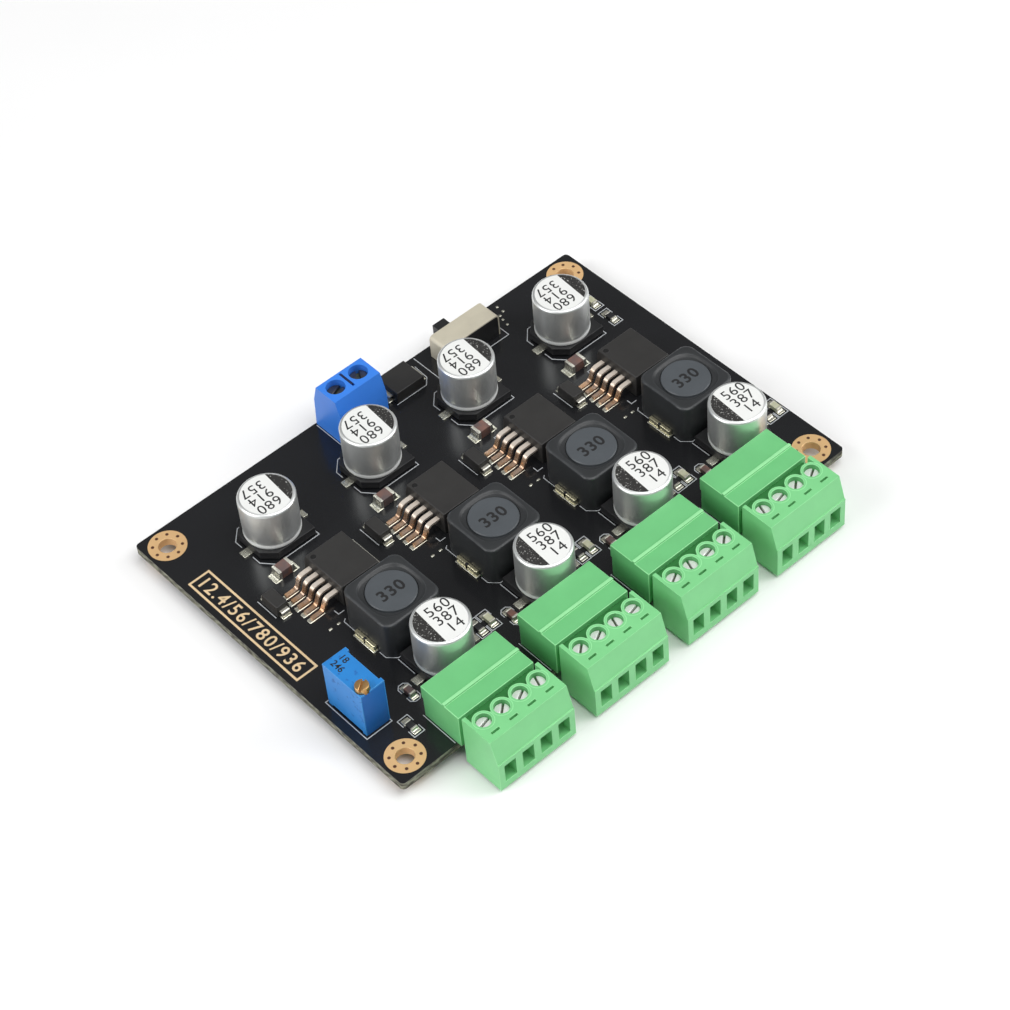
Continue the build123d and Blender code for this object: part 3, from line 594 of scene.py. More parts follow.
# painted highlight: a brighter, less metallic copy of the can finish for the rolled foot and the bottom
can_rim = plain("can_rim", (0.9, 0.92, 0.9), 0.4, 0.3, drift=0.03, cells=200)
can_top = plain("can_top", (0.79, 0.8, 0.78), 0.45, drift=0.03, cells=300)
ink = plain("ink", (0.012, 0.012, 0.013), 0.5)
silk = plain("silk", (0.5, 0.52, 0.54), 0.6, drift=0.15, cells=900)
ring_gold = plain("ring_gold", (0.78, 0.5, 0.24), 0.45, 0.3, drift=0.05, cells=500)
via_brown = plain("via_brown", (0.08, 0.025, 0.01), 0.5)
label_gold = plain("label_gold", (0.8, 0.6, 0.36), 0.45, 0.2, drift=0.12, cells=500)
chip_black = plain("chip_black", (0.02, 0.02, 0.022), 0.4, cells=600)

floor_white = plain("floor_white", (0.94, 0.94, 0.94), 0.7, drift=0.01, cells=3, grain=40)

# The board: its top, and the middles of the inductors that head the four channels

board_low, board_high = node_corners("circuit_board")
deck = board_high[2]
inductor_places = middles("inductor_shields")[:, :2]
PRINT_SINK = 0.005
PAD_HEIGHT, THICK_PAD_HEIGHT = 0.08, 0.12


def on_deck(shape, places):
    """Copies of a shape on the board's top, at (x, y) places."""
    return shape.at([(x, y, deck) for x, y in places])


# Mounting holes: a gold ring and wall, with a circle of small vias on both faces

RING_RADIUS, PLATING, BURIED = 3.4, 0.035, 0.01
VIA_COUNT, VIA_START, VIA_CIRCLE, VIA_RADIUS, VIA_CROWN = 8, 10, 2.55, 0.3, 0.24


def mounting_ring(hole_radius):
    """A closed profile carried round the hole: the plated wall, and a flat ring on each face."""
    wall, lip = hole_radius - 0.03, hole_radius + 0.06
    profile = [
        (hole_radius + BURIED, deck - BURIED),
        (hole_radius + BURIED, BURIED),
        (RING_RADIUS, BURIED),
        (RING_RADIUS, -PLATING),
        (lip, -PLATING),
        (wall, 0.03),
        (wall, deck - 0.03),
        (lip, deck + PLATING),
        (RING_RADIUS, deck + PLATING),
        (RING_RADIUS, deck - BURIED),
    ]
    return lathe(profile, looped=True)


def ring_of_vias():
    """Low discs above and below the board, at even steps round a circle."""
    step = PLATING + BURIED
    above = lathe([(VIA_RADIUS, PLATING - BURIED), (VIA_RADIUS, step), (VIA_CROWN, step + 0.005)], 12)
    below = lathe([(VIA_CROWN, -step - 0.005), (VIA_RADIUS, -step), (VIA_RADIUS, BURIED - PLATING)], 12)
    angle = radians(VIA_START) + np.arange(VIA_COUNT) * 2 * pi / VIA_COUNT
    return (above.moved(z=deck) + below).at(VIA_CIRCLE * on_circle(angle)).painted(1)


holes = frame["record"]["mounts"][0]["dims"]
hole_x, hole_y = holes["spacing_x_mm"] / 2, holes["spacing_y_mm"] / 2
hole_places = [(x, y) for x in (-hole_x, hole_x) for y in (-hole_y, hole_y)]
rings = (mounting_ring(holes["hole_r_mm"]) + ring_of_vias()).at(hole_places)
make_piece("mounting_rings", rings, [ring_gold, via_brown], slot="brass_screw")

# Gold label along the left edge: a box of lines round plain numbers

LABEL_MARGIN, LABEL_WIDTH, LABEL_FRONT, LABEL_LENGTH = 1.4, 4.1, 27.9, 28.6
LABEL_LINE, LABEL_LETTER = 0.4, 2.5


def gold_label(text):
    """A box of lines, and a row of figures along its middle that reads towards the front."""
    left, front = board_low[0] + LABEL_MARGIN, board_low[1] + LABEL_FRONT
    right, rear = left + LABEL_WIDTH, front + LABEL_LENGTH
    box = printed_line([(left, front), (right, front), (right, rear), (left, rear)], LABEL_LINE, closed=True)
    row = lettering(text, LABEL_LETTER, spacing=1.16, bold=0.04).turned(-90)
    return box + row.moved((left + right) / 2, (front + rear) / 2)


make_piece("gold_label", gold_label("12.4/56/780/936").moved(z=deck - PRINT_SINK), [label_gold])

# White printed outlines, each a path round the middle of the piece that it frames

outline_paths = {
    "input_capacitor_cans": [
        [(-5.7, 1.6), (-5.7, 3.3), (-3.6, 5.5), (3.0, 5.5)],
        [(-5.7, -1.4), (-5.7, -3.3), (-3.9, -5.45), (5.5, -5.45), (5.5, -4.4)],
    ],
    "output_capacitor_cans": [
        [(-5.35, 5.6), (-5.35, 1.4)],
        [(-5.35, -1.4), (-5.35, -5.6)],
    ],
    "inductor_shields": [
        [(-6.15, 3.1), (-6.15, 5.9), (-5.6, 6.3)],
        [(-6.15, -3.1), (-6.15, -4.7), (-4.7, -6.2), (-3.5, -6.2)],
        [(3.5, -6.2), (4.7, -6.2), (6.15, -4.7), (6.15, -3.1)],
    ],
    "regulator_bodies": [
        [(-6.0, -4.5), (-6.0, -5.6), (-4.8, -5.6)],
        [(-6.0, 4.5), (-6.0, 5.6), (-4.8, 5.6)],
    ],
    "catch_diodes": [
        [(-1.6, 3.0), (-1.6, -2.0)],
        [(1.7, 3.0), (1.7, -2.0)],
    ],
    "input_diode": [
        [(4.8, 1.9), (4.6, -1.6), (3.3, -3.0), (-3.5, -3.0)],
    ],
    "input_terminal_housing": [
        [(-5.32, 3.7), (-5.32, -4.2), (5.33, -4.2)],
    ],
    "switch_shell": [
        [(-8.85, 4.15), (-8.85, -3.55), (7.15, -3.55), (7.15, 4.15)],
    ],
    "trimmer_body": [
        [(-2.85, 4.0), (-2.85, -5.25), (2.35, -5.25), (2.35, 5.15), (-2.85, 5.15), (-2.85, 4.0)],
    ],
    **{f"header_{number}": [[(-8.2, 4.5), (-8.2, -3.3)]] for number in PLUGS},
}
CHIP_MARGIN, CHIP_END_MARGIN = 0.85, 2.3


def bracketed(width, length, gap=1.2, cut=0.0):
    """Two brackets that face each other along Y, with their far corners cut."""
    x, y = width / 2, length / 2
    corners = [(-x, y - cut), (cut - x, y), (x - cut, y), (x, y - cut)] if cut else [(-x, y), (x, y)]
    bracket = printed_line([(-x, gap / 2), *corners, (x, gap / 2)])
    return bracket + bracket.turned(180)


def chip_brackets(node, cut):
    """Brackets round those chips of a node that lie along Y."""
    brackets = []
    for low, high in boxes_of(node):
        width, length, _ = high - low
        if length > width:
            middle = (low + high) / 2
            bracket = bracketed(width + CHIP_MARGIN, length + CHIP_END_MARGIN, cut=cut)
            brackets.append(bracket.moved(*middle[:2]))
    return brackets


outlines = [
    printed_line(path).at(middles(node)[:, :2]) for node, paths in outline_paths.items() for path in paths
]
for node, cut in (("chip_capacitors", 0.6), ("chip_resistors", 0.0), ("indicator_lights", 0.0)):
    outlines.extend(chip_brackets(node, cut))
make_piece("printed_outlines", joined(outlines).moved(z=deck - PRINT_SINK), [silk])

# Chips with metal ends, and the solder under them

CAP_STEP, CAP_OVERLAP, CAP_EDGE, BODY_EDGE = 0.03, 0.05, 0.08, 0.05
PAD_OUTSIDE, PAD_UNDER, PAD_SPREAD, THIN_PAD_HEIGHT = 0.55, 0.45, 0.125, 0.07
FILLET_REACH, FILLET_HEIGHT, FILLET_INSET, FILLET_FOOT = 0.75, 0.6, 0.05, 0.02
solder_work = []


def chip(width, length, height, end):
    """A ceramic body between two metal ends, along Y. The ends stand a step proud of the body."""
    body_size = (width - 2 * CAP_STEP, length - 2 * end + 2 * CAP_OVERLAP, height - CAP_STEP)
    body = rounded_block(*body_size, corner=BODY_EDGE, edge=BODY_EDGE)
    cap = rounded_block(width, end, height, corner=CAP_EDGE, edge=CAP_EDGE).painted(1)
    return body + cap.moved(y=(length - end) / 2) + cap.moved(y=(end - length) / 2)


def soldered_ends(width, length, height):
    """Pads with hollow fillets at both ends of a chip that lies along Y. A wider chip has a longer pad."""
    outside = PAD_OUTSIDE + 0.2 * width
    plate = mound(width + 2 * PAD_SPREAD, outside + PAD_UNDER, THIN_PAD_HEIGHT)
    fillet = wedge(width - 2 * FILLET_INSET, outside * FILLET_REACH, height * FILLET_HEIGHT)
    plate = plate.moved(y=length / 2 + (outside - PAD_UNDER) / 2)
    end = plate + fillet.moved(y=length / 2, z=FILLET_FOOT)
    return end + end.turned(180)


def dress_chips(node, end_share, finish):
    """Stand-ins for a node's chips, with their solder; end_share is a metal end's part of the length."""
    dressed = []
    for low, high in boxes_of(node):
        size, middle = high - low, (low + high) / 2
        width, length = sorted(size[:2])
        turn = 90 if size[0] > size[1] else 0
        place = (*middle[:2], low[2])
        dressed.append(chip(width, length, size[2], end_share * length).turned(turn).moved(*place))
        solder_work.append(soldered_ends(width, length, size[2]).turned(turn).moved(*place))
    stand_in(f"{node}_finished", node, joined(dressed), [finish, tinned])


dress_chips("chip_capacitors", 0.18, chip_brown)
dress_chips("chip_resistors", 0.19, chip_black)
dress_chips("indicator_lights", 0.15, light_cream)

# Diodes: leads that leave the body, drop and fold back under it

FOLD_THICKNESS, FOLD_BEND, FOLD_ROOT, LEAD_SEARCH = 0.26, 0.24, -0.4, 5
DIODE_PAD, DIODE_PAD_SHIFT, DIODE_PAD_HEIGHT, PAD_MARGIN = 1.3, 0.45, 0.09, 0.3


def folded_lead(reach, width, height):
    """A strip along a path that leaves the body level, drops, and runs back under it."""
    inset = FOLD_THICKNESS / 2
    top, outer = height - inset, reach / 2 - inset
    path = [(FOLD_ROOT, top), (outer, top), (outer, inset), (-reach / 2, inset)]
    return bent_strip(rounded_path(path, FOLD_BEND), width, FOLD_THICKNESS)


def diode_folds(body_node):
    """A folded lead and a pad in place of each plain lead that stands near one of the bodies."""
    folds = []
    for middle in middles(body_node):
        for low, high in boxes_of("diode_leads"):
            size, place = high - low, (low + high) / 2
            away = (place - middle)[:2]
            if hypot(*away) > LEAD_SEARCH:
                continue
            along_x = abs(away[0]) > abs(away[1])
            reach, width = (size[0], size[1]) if along_x else (size[1], size[0])
            turn = np.degrees(np.arctan2(away[1] * (not along_x), away[0] * along_x))
            lead = folded_lead(reach, width, size[2])
            folds.append(lead.turned(turn).moved(*place[:2], low[2]))
            pad_width = width + PAD_MARGIN
            pad_size = (DIODE_PAD, pad_width) if along_x else (pad_width, DIODE_PAD)
            pad_place = place[:2] + DIODE_PAD_SHIFT * away / hypot(*away)
            solder_work.append(mound(*pad_size, DIODE_PAD_HEIGHT).moved(*pad_place, low[2]))
    return folds


folds = diode_folds("catch_diodes") + diode_folds("input_diode")
stand_in("diode_leads_finished", "diode_leads", joined(folds), [tinned], 50)

# Regulators: leads with arched shoulders, the metal tab at the other end, and a moulded mark

LEAD_THICKNESS, LEAD_FOOT, LEAD_SLOPE, LEAD_BEND = 0.45, 2.4, 0.95, 1.0
LEAD_ROOT, LEAD_EXTRA_WIDTH, TAB_WIDTH = 0.4, 0.06, 2
LEAD_PAD, LEAD_PAD_SHIFT = 3.3, 0.95
MARK_X, MARK_Y = 1.1, 1.35


def arched_lead(size):
    """A strip along a path of foot, slope and level shoulder, with wide bends."""
    foot, shoulder = LEAD_THICKNESS / 2, size[2] - LEAD_THICKNESS / 2
    path = [(0, foot), (LEAD_FOOT, foot), (LEAD_FOOT + LEAD_SLOPE, shoulder)]
    path.append((size[0] + LEAD_ROOT, shoulder))
    return bent_strip(rounded_path(path, LEAD_BEND, 8), size[1] + LEAD_EXTRA_WIDTH, LEAD_THICKNESS)


def regulator_leads():
    """A tab for each wide solid of the lead frames, and an arched lead with its pad for each narrow one."""
    leads = []
    for low, high in boxes_of("regulator_lead_frames"):
        size, middle = high - low, (low + high) / 2
        if size[1] > TAB_WIDTH:
            tab = rounded_block(*size, corner=0.25, edge=0.06)
            leads.append(tab.moved(*middle[:2], low[2]).painted(1))
        else:
            leads.append(arched_lead(size).moved(low[0], middle[1], low[2]))
            pad = mound(LEAD_PAD, size[1] + PAD_MARGIN, PAD_HEIGHT)
            solder_work.append(pad.moved(low[0] + LEAD_PAD_SHIFT, middle[1], low[2]))
    return leads


leads = joined(regulator_leads())
stand_in("regulator_leads", "regulator_lead_frames", leads, [copper_lead, tinned], 50)
mark = lathe([(0.5, 0.0), (0.48, 0.012), (0.4, 0.005)], 24)
mark_places = [(low[0] + MARK_X, high[1] - MARK_Y, high[2]) for low, high in boxes_of("regulator_bodies")]
make_piece("regulator_marks", mark.at(mark_places), [mould_mark])

# Solder: pads under cans and inductors, small test pads, and cones round the pins below the board

CAN_PAD_REACH, INDUCTOR_PAD_REACH = 5.7, 6.2
TEST_PAD_ROW, TEST_PAD_COLUMNS = 6.25, (-8.75, -7.0)
CAN_PAD, INDUCTOR_PAD, TEST_PAD, SMALL_PAD = (1.7, 1.3), (1.6, 5.4), (0.75, 0.5), (0.5, 0.5)
PADS_BY_SWITCH = [(31.65, 33.65), (31.67, 32.1), (30.5, 31.6), (30.2, 30.5), (29.95, 29.0)]
SMALL_CONE, TAB_INSET = (0.72, 0.72, 0.8), 0.15


def both_sides(places, reach):
    """Two places for each one, at a reach to its left and to its right."""
    return [(x + side * reach, y) for x, y in places for side in (-1, 1)]


def shell_tabs():
    """Places of the two tabs of the switch's shell that reach below the board."""
    shell = solids_of("switch_shell")[0]
    tabs = shell[shell[:, 2] < 0]
    left, right = tabs[:, 0].min() + TAB_INSET, tabs[:, 0].max() - TAB_INSET
    return [(x, tabs[:, 1].mean()) for x in (left, right)]


def solder_cone():
    """A hollow-sided cone turned from (radius, height) pairs, from its tip up to the board."""
    side = [(0.42, -1.05), (0.54, -0.85), (0.6, -0.5), (0.72, -0.22), (0.92, -0.06)]
    return lathe([*side, (1.05, -0.035), (1.05, 0.005)], 20)


for node in ("input_capacitor_cans", "output_capacitor_cans"):
    can_pads = both_sides(middles(node)[:, :2], CAN_PAD_REACH)
    solder_work.append(on_deck(mound(*CAN_PAD, PAD_HEIGHT), can_pads))
inductor_pads = both_sides(inductor_places, INDUCTOR_PAD_REACH)
solder_work.append(on_deck(mound(*INDUCTOR_PAD, THICK_PAD_HEIGHT), inductor_pads))
test_pads = [(x + column, y + TEST_PAD_ROW) for x, y in inductor_places for column in TEST_PAD_COLUMNS]
solder_work.append(on_deck(mound(*TEST_PAD, THICK_PAD_HEIGHT), test_pads))
solder_work.append(on_deck(mound(*SMALL_PAD, PAD_HEIGHT), PADS_BY_SWITCH))
cone = solder_cone()
small_cone = Shape(cone.points * SMALL_CONE, cone.faces)
solder_work.append(cone.at([*feet("header_pins"), *feet("input_terminal_pins")]))
solder_work.append(small_cone.at([*feet("trimmer_pins"), *feet("switch_terminals"), *shell_tabs()]))
make_piece("solder_joints", joined(solder_work), [solder], slot="tinned_lead", smooth=50)

# Capacitors: a drawn can with a rolled foot, its stripe and its plain numbers

CAN_SIDES, CAN_EDGE = 72, 0.55
CAN_LETTER, ROW_PITCH, ROW_SHIFT, INK_THICKNESS = 2.1, 2.35, 2.3, 0.014
STRIPE_TURN, ROW_TURN = -4, 177


def can(radius, low, high):
    """A can turned from (radius, height) pairs: foot, groove, wall and a rounded edge."""
    profile = [
        (radius - 0.3, low),
        (radius - 0.06, low + 0.06),
        (radius, low + 0.22),
        (radius, low + 0.5),
        (radius - 0.1, low + 0.8),
        (radius - 0.16, low + 1.1),
        (radius - 0.07, low + 1.45),
        (radius, low + 1.8),
        *((radius - inset, level) for inset, level in quarter_round(CAN_EDGE, high, 6)),
        (radius - CAN_EDGE - 0.07, high),
    ]
    shape = lathe(profile, CAN_SIDES)
    # band 4 is the painted highlight on the rolled foot and the bottom
    side, top, rim = 0, 1, 4
    foot_bands, edge_bands = 4, 1
    side_bands = len(profile) - 1 - foot_bands - edge_bands
    bands = [rim] * foot_bands + [side] * side_bands + [top] * edge_bands
    return Shape(shape.points, shape.faces, [*np.repeat(bands, CAN_SIDES), rim, top])


def stripe(radius, chord, steps=20):
    """The part of a disc beyond a chord on its +X side, as a thin plate."""
    half = np.arccos(chord / radius)
    angle = np.linspace(-half, half, steps)
    return skin([flat_ring(radius * on_circle(angle), level) for level in (-0.01, 0.012)])


def can_marks(radius, rows, chord):
    """A stripe on the +X side, and rows of plain numbers that read towards -X beside it."""
    marks = stripe(radius, chord).turned(STRIPE_TURN).painted(2)
    for row, text in enumerate(rows):
        words = lettering(text, CAN_LETTER, INK_THICKNESS, 1.08).turned(ROW_TURN)
        marks = marks + words.moved(chord / 2 - ROW_SHIFT, ROW_PITCH * (row - 1)).painted(3)
    return marks


def dress_cans(name, rows, chord, turn):
    """A node's cans with their stripes and numbers, turned as they stand on the board."""
    node = f"{name}_capacitor_cans"
    low, high = node_corners(node)
    radius = (high[1] - low[1]) / 2
    marks = can_marks(radius - CAN_EDGE - 0.02, rows, chord).turned(turn).moved(z=high[2] - 0.002)
    cans = (can(radius, low[2], high[2]) + marks).at(middles(node)[:, :2])
    stand_in(f"{name}_cans", node, cans, [can_side, can_top, stripe_black, ink, can_rim], 40)


dress_cans("input", ("680", "914", "357"), 2.4, 0)
dress_cans("output", ("560", "387", "14"), 1.9, 180)

# Inductors: a square shield with rounded corners and a round core set into its top

POCKET_MARGIN, POCKET_SQUARENESS, INDUCTOR_STEPS = 0.95, 2.9, 96
CORE_DROP, CORE_LETTER, NOTCH_WIDTH, NOTCH_LENGTH = 0.11, 2.3, 0.5, 0.7


def square_radius(angle, half, corner):
    """Distance from the middle to a rounded square.

    On a side it is half over the cosine, and at a corner it is the far root of a circle's chord.
    """
    big = np.maximum(np.abs(np.cos(angle)), np.abs(np.sin(angle)))
    small = np.minimum(np.abs(np.cos(angle)), np.abs(np.sin(angle)))
    inner = half - corner
    reach = inner * (big + small)
    round_part = reach + np.sqrt(np.maximum(reach**2 - 2 * inner**2 + corner**2, 0))
    return np.where(half * small / big <= inner, half / big, round_part)


def pocket_radius(angle, half):
    """Distance to a squarish curve: half over the p-norm of cosine and sine, p the squareness."""
    power = POCKET_SQUARENESS
    return half / (np.abs(np.cos(angle)) ** power + np.abs(np.sin(angle)) ** power) ** (1 / power)


def inductor(half, core, low, high):
    """Stacked rings: the shield's outline, the pocket's squarish outline, then the core's circle."""
    angle = np.arange(INDUCTOR_STEPS) * 2 * pi / INDUCTOR_STEPS
    pocket = pocket_radius(angle, half - POCKET_MARGIN)
    insets = (0.15, 0, 0, 0.07, 0.28, 0.4)
    corners = (1.7, 1.8, 1.8, 1.75, 1.6, 1.55)
    levels = (low, low + 0.15, high - 0.4, high - 0.16, high - 0.02, high)
    outer = [square_radius(angle, half - inset, corner) for inset, corner in zip(insets, corners)]
    rings = [
        *zip(outer, levels),
        (pocket + 0.12, high),
        (pocket, high - 0.03),
        (pocket - 0.25, high - 0.34),
        (pocket - 0.4, high - 0.4),
        (core + 0.07, high - 0.42),
        (core + 0.02, high - 0.65),
        (core - 0.09, high - 0.65),
        (core - 0.11, high - 0.22),
        (core - 0.23, high - 0.1),
    ]
    shape = skin([round_ring(radius, INDUCTOR_STEPS, level) for radius, level in rings])
    # band 3 is the painted highlight on the rounded top edge and the pocket's rim
    frame_face, core_face, highlit_edge = 0, 1, 3
    bands = [frame_face] * 2 + [highlit_edge] * 3 + [frame_face, highlit_edge]
    bands += [frame_face] * 5 + [core_face] * 2
    return Shape(shape.points, shape.faces, [*np.repeat(bands, INDUCTOR_STEPS), frame_face, core_face])


def dress_inductors(text):
    """The four inductors with a number on the core and a notch over the left clip."""
    low, high = boxes_of("inductor_shields")[0]
    core_low, core_high = boxes_of("inductor_cores")[0]
    clip_low, clip_high = boxes_of("inductor_clips")[0]
    half, core = (high[0] - low[0]) / 2, (core_high[0] - core_low[0]) / 2
    clip_size = clip_high - clip_low
    number = lettering(text, CORE_LETTER, 0.02, 1.1, bold=0.07).painted(2).moved(z=high[2] - CORE_DROP)
    notch = rounded_block(NOTCH_WIDTH, NOTCH_LENGTH, clip_size[2] + 0.05, corner=0.15)
    notch = notch.moved(NOTCH_WIDTH / 2 - half - clip_size[0], 0, clip_low[2])
    make_piece(
        "inductors",
        (inductor(half, core, low[2], high[2]) + number + notch).at(inductor_places),
        [ferrite, ferrite_face, ink, ferrite_edge],
        slot="ferrite",
        stands_for=("inductor_shields", "inductor_cores"),
        smooth=40,
    )


dress_inductors("330")

# Slotted screws, turned and rounded, and round walls for the wells of the plugs


def slotted(radius, low, high, slot, turn, edge=0.12):
    """A round bar up to the slot's floor, and two half moons with rounded edges above it."""
    slot_width, slot_depth = slot
    floor_of_slot = high - slot_depth
    rings = []
    for inset, level in [(0.0, floor_of_slot - 0.01), *quarter_round(edge, high)]:
        line, rim = slot_width / 2 + inset, radius - inset
        start = np.arcsin(line / rim)
        angle = np.linspace(start, pi - start, 20)
        rings.append(flat_ring(rim * on_circle(angle), level))
    moon = skin(rings)
    bar = lathe([(radius, low), (radius, floor_of_slot)], 40).painted(1)
    return (bar + moon + moon.turned(180)).turned(turn)


def screw_piece(node, finishes, slot, turn, head=None, shank=None):
    """A node's screw with a rounded top and a slot (width, depth); a head stands on a thinner shank."""
    low, high = node_corners(node)
    middle, radius = (low + high) / 2, (high[0] - low[0]) / 2
    bottom = high[2] - head if head else low[2]
    shape = slotted(radius, bottom, high[2], slot, turn)
    if shank:
        shape = shape + lathe([(shank, low[2]), (shank, bottom + 0.01)], 32)
    stand_in(f"{node}_turned", node, shape.moved(*middle[:2]), finishes, 40)


SMALL_SLOT, LARGE_SLOT = (0.4, 0.6), (0.6, 0.8)
SLOT_TURNS = (28, 72, 12, 40)
WELL_RADIUS, WELL_WALL, WELL_DEPTH, WELL_RIM, RIM_STEP = 1.34, 0.12, 3.4, 1.85, 0.012
LEDGE_DROP, LEDGE_SETBACK, LEDGE_END = 2.0, 0.52, 0.7
WELL_SIDES = 48


def well_lining(top):
    """A closed profile carried round a well: its wall, and a flat rim that steps up from the collar. The
    rim's edges carry a painted highlight, and the well's inside wall painted shade.
    """
    wall = WELL_RADIUS + WELL_WALL
    # band 1 is a painted highlight on the rim's edges, band 3 painted shade on the well's inside wall
    collar, highlit_edge, well = 0, 1, 3
    profile = [
        (WELL_RADIUS, top - WELL_DEPTH, collar),
        (wall, top - WELL_DEPTH, collar),
        (wall, top - 0.05, collar),
        (WELL_RIM, top - 0.05, highlit_edge),
        (WELL_RIM, top + RIM_STEP, highlit_edge),
        (WELL_RIM - 0.12, top + RIM_STEP, collar),
        (WELL_RADIUS + 0.1, top + RIM_STEP, highlit_edge),
        (WELL_RADIUS + 0.03, top - 0.02, collar),
        (WELL_RADIUS, top - 0.1, well),
    ]
    shape = lathe([(radius, level) for radius, level, _ in profile], WELL_SIDES, looped=True)
    bands = [band for _, _, band in profile]
    return Shape(shape.points, shape.faces, np.repeat(bands, WELL_SIDES))


def shaded_ledge(number, well_row, top):
    """A thin dark plate of painted shade on the ledge between the collars and the header."""
    plug_low, plug_high = node_corners(f"plug_{number}")
    front, back = well_row + LEDGE_SETBACK, node_corners(f"header_{number}")[0][1]
    width = plug_high[0] - plug_low[0] - 2 * LEDGE_END
    plate = rounded_block(width, back - front, 0.03, corner=0.05, edge=0.01).painted(2)
    middle = ((plug_low[0] + plug_high[0]) / 2, (front + back) / 2)
    return plate.moved(*middle, top - LEDGE_DROP - 0.01)


for number in PLUGS:
    screws = [f"plug_{number}_screw_{pole}" for pole in POLES]
    for pole, screw in zip(POLES, screws):
        turn = SLOT_TURNS[(pole + number) % len(SLOT_TURNS)]
        screw_piece(screw, [screw_steel, slot_shadow], SMALL_SLOT, turn)
    wells = [sum(node_corners(screw))[:2] / 2 for screw in screws]
    top = node_corners(f"plug_{number}")[1][2]
    lining = well_lining(top).at(wells) + shaded_ledge(number, wells[0][1], top)
    finishes = [plug_green, edge_green, shade_green, well_green]
    make_piece(f"plug_{number}_wells", lining, finishes, f"plug_{number}", "plug_green")
for number, turn in ((1, 20), (2, 62)):
    screw = f"input_terminal_screw_{number}"
    screw_piece(screw, [dull_steel, slot_shadow], LARGE_SLOT, turn, head=1.4, shank=1.24)
screw_piece("trimmer_screw", [brass, brass], SMALL_SLOT, 35, head=1.3, shank=0.85)

# Moulded and folded pieces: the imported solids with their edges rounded


def rib_highlight_strip(number):
    """A thin light strip on the rib that runs along a header's top: a painted highlight."""
    points = node_shape(f"header_{number}").points
    top = points[:, 2].max()
    rib = points[points[:, 2] > top - 0.01]
    size, middle = np.ptp(rib, axis=0), (rib.min(axis=0) + rib.max(axis=0)) / 2
    strip = rounded_block(size[0] - 0.2, size[1] - 0.16, 0.02, corner=0.05, edge=0.01)
    return strip.moved(*middle[:2], top - 0.012)


# headers and plugs carry a painted highlight on their rounded edges, and each header a painted highlight
# strip on its rib
for number in PLUGS:
    softened(f"header_{number}", [header_green, edge_green])
    softened(f"plug_{number}", [plug_green, edge_green])
    make_piece(f"header_{number}_rib_highlight", rib_highlight_strip(number), [edge_green])
for node, finishes, edge in (
    ("input_terminal_housing", [terminal_blue], 0.12),
    ("switch_shell", [shell_steel], 0.04),
    ("switch_base", [black_plastic], 0.06),
    ("switch_slider", [black_plastic], 0.1),
    # second finish: painted highlight on the trimmer's edges
    ("trimmer_body", [trimmer_blue, edge_blue], 0.12),
    ("capacitor_bases", [black_plastic], 0.08),
    ("capacitor_leads", [solder], 0.05),
    ("inductor_clips", [clip_tin], 0.12),
    ("regulator_bodies", [moulded_black], 0.12),
    ("catch_diodes", [moulded_black], 0.1),
    ("input_diode", [moulded_black], 0.12),
):
    softened(node, finishes, edge)

# Input terminal: painted shade, a dark line along the slot between its wells

TERMINAL_LINE, TERMINAL_LINE_WIDTH = [(0, -1.5), (0, 1.7)], 0.42


def terminal_slot():
    """A wide dark line along Y, level with the screws: painted shade in the slot."""
    low, high = node_corners("input_terminal_housing")
    screw_row = middles("input_terminal_screw_1")[0][1]
    line = printed_line(TERMINAL_LINE, TERMINAL_LINE_WIDTH, 0.02)
    return line.moved((low[0] + high[0]) / 2, screw_row, high[2] - 0.012)


make_piece("terminal_slot", terminal_slot(), [slot_blue])

# Trimmer: a darker front face of painted shade over the screw's bore, and plain numbers on the top

trimmer_low, trimmer_high = node_corners("trimmer_body")
TRIMMER_LETTER, LEFT_ROW, RIGHT_ROW = 1.25, (-0.95, 2.6), (0.75, 2.9)
FRONT_SIDE_GAP, FRONT_TOP_GAP, FRONT_THICKNESS = 0.2, 0.35, 0.08


def trimmer_front():
    """A thin darker plate over the front of the body: painted shade."""
    width, _, height = trimmer_high - trimmer_low
    plate_size = (width - 2 * FRONT_SIDE_GAP, FRONT_THICKNESS, height - FRONT_TOP_GAP)
    plate = rounded_block(*plate_size, corner=0.03, edge=0.03)
    return plate.moved((trimmer_low[0] + trimmer_high[0]) / 2, trimmer_low[1] + 0.01, trimmer_low[2])


def trimmer_numbers():
    """Two short rows of figures that read towards the front."""
    middle = (trimmer_low + trimmer_high) / 2
    left = lettering("246", TRIMMER_LETTER, 0.02, bold=0.02).turned(-90).moved(*LEFT_ROW)
    right = lettering("18", TRIMMER_LETTER, 0.02, bold=0.02).turned(-90).moved(*RIGHT_ROW)
    return (left + right).moved(*middle[:2], trimmer_high[2] - PRINT_SINK)


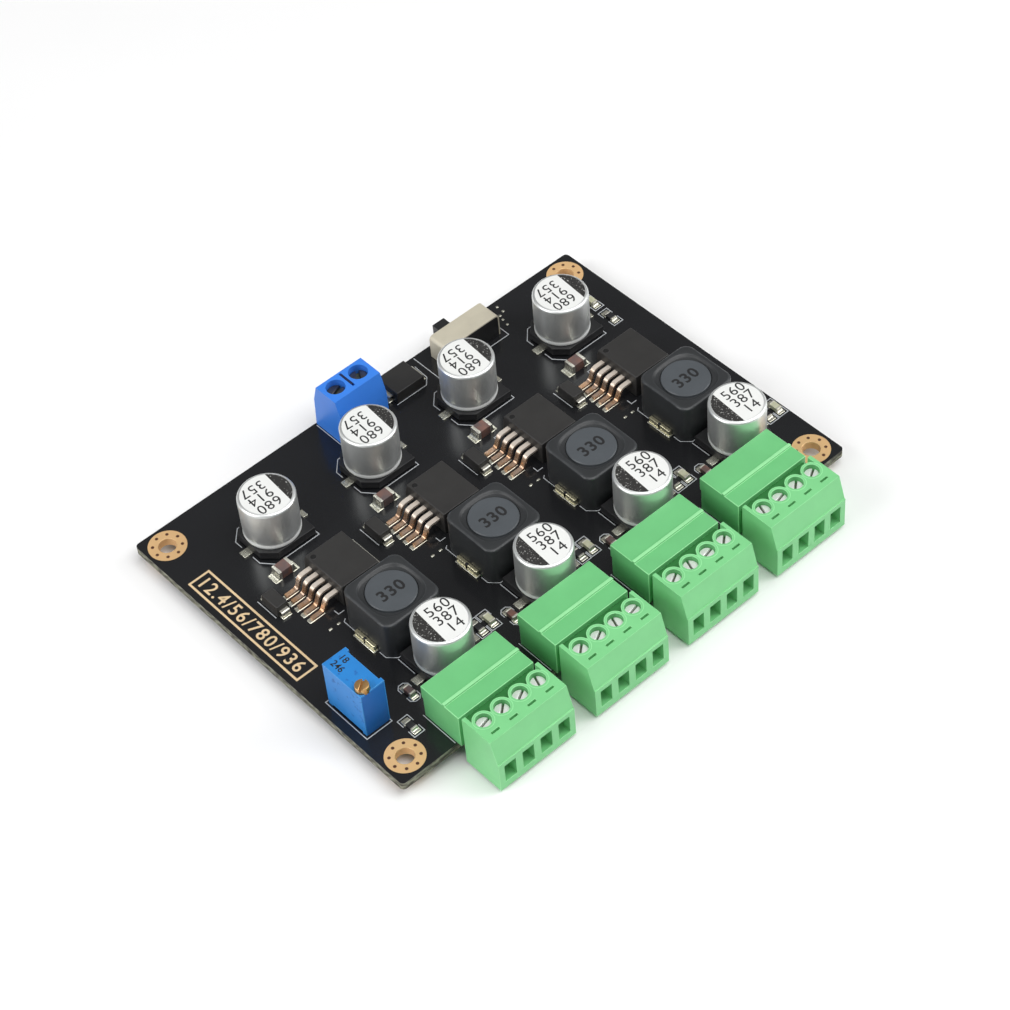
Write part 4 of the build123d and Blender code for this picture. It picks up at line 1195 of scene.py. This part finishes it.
make_piece("trimmer_front", trimmer_front(), [shade_blue], slot="trimmer_blue")
make_piece("trimmer_numbers", trimmer_numbers(), [ink])

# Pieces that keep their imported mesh

for node, finish in (
    ("circuit_board", solder_mask),
    ("header_pins", tinned),
    ("input_terminal_pins", tinned),
    ("input_terminal_clamp_1", clamp_steel),
    ("input_terminal_clamp_2", clamp_steel),
    ("switch_terminals", tinned),
    ("trimmer_pins", tinned),
    *((f"plug_{number}_clamps", clamp_steel) for number in PLUGS),
):
    for slot in frame["nodes"][node].material_slots:
        slot.material = finish

# Studio: a pale floor that the pins stand on, soft lights and the camera

FLOOR_HALF = 1.5


def pale_floor(level):
    """A square sheet at a height."""
    mesh = bpy.data.meshes.new("floor")
    x, y = FLOOR_HALF * np.array([[-1, 1, 1, -1], [-1, -1, 1, 1]])
    mesh.from_pydata([*zip(x, y, [level] * 4)], [], [[0, 1, 2, 3]])
    mesh.materials.append(floor_white)
    return placed("floor", mesh)


def soft_light(name, place, size, power):
    """A square light, turned to face the origin."""
    lamp = bpy.data.lights.new(name, "AREA")
    lamp.size = size
    lamp.energy = power
    holder = placed(name, lamp)
    holder.location = place
    x, y, z = place
    holder.rotation_euler = (np.arctan2(hypot(x, y), z), 0, np.arctan2(y, x) + pi / 2)


floor_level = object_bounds()[0][2]
floor = pale_floor(floor_level)
soft_light("above", (0.1, -0.25, 0.8), 0.7, 4.8)
soft_light("left", (-0.75, 0.2, 0.5), 0.6, 5.0)
soft_light("right", (0.65, -0.45, 0.4), 0.5, 3.0)

world = bpy.data.worlds.new("studio")
world.use_nodes = True
background = world.node_tree.nodes["Background"]
background.inputs["Color"].default_value = (1.0, 1.0, 1.0, 1.0)
background.inputs["Strength"].default_value = 0.22
bpy.context.scene.world = world
bpy.context.scene.view_settings.view_transform = "Standard"

lens = bpy.data.cameras.new("camera")
lens.sensor_width = 36.0
lens.lens = 97.279
camera = placed("camera", lens)
camera.location = (-0.188471, -0.246812, 0.347551)
camera.rotation_euler = (radians(41.57423), radians(3.80781), radians(-42.06018))
bpy.context.scene.camera = camera
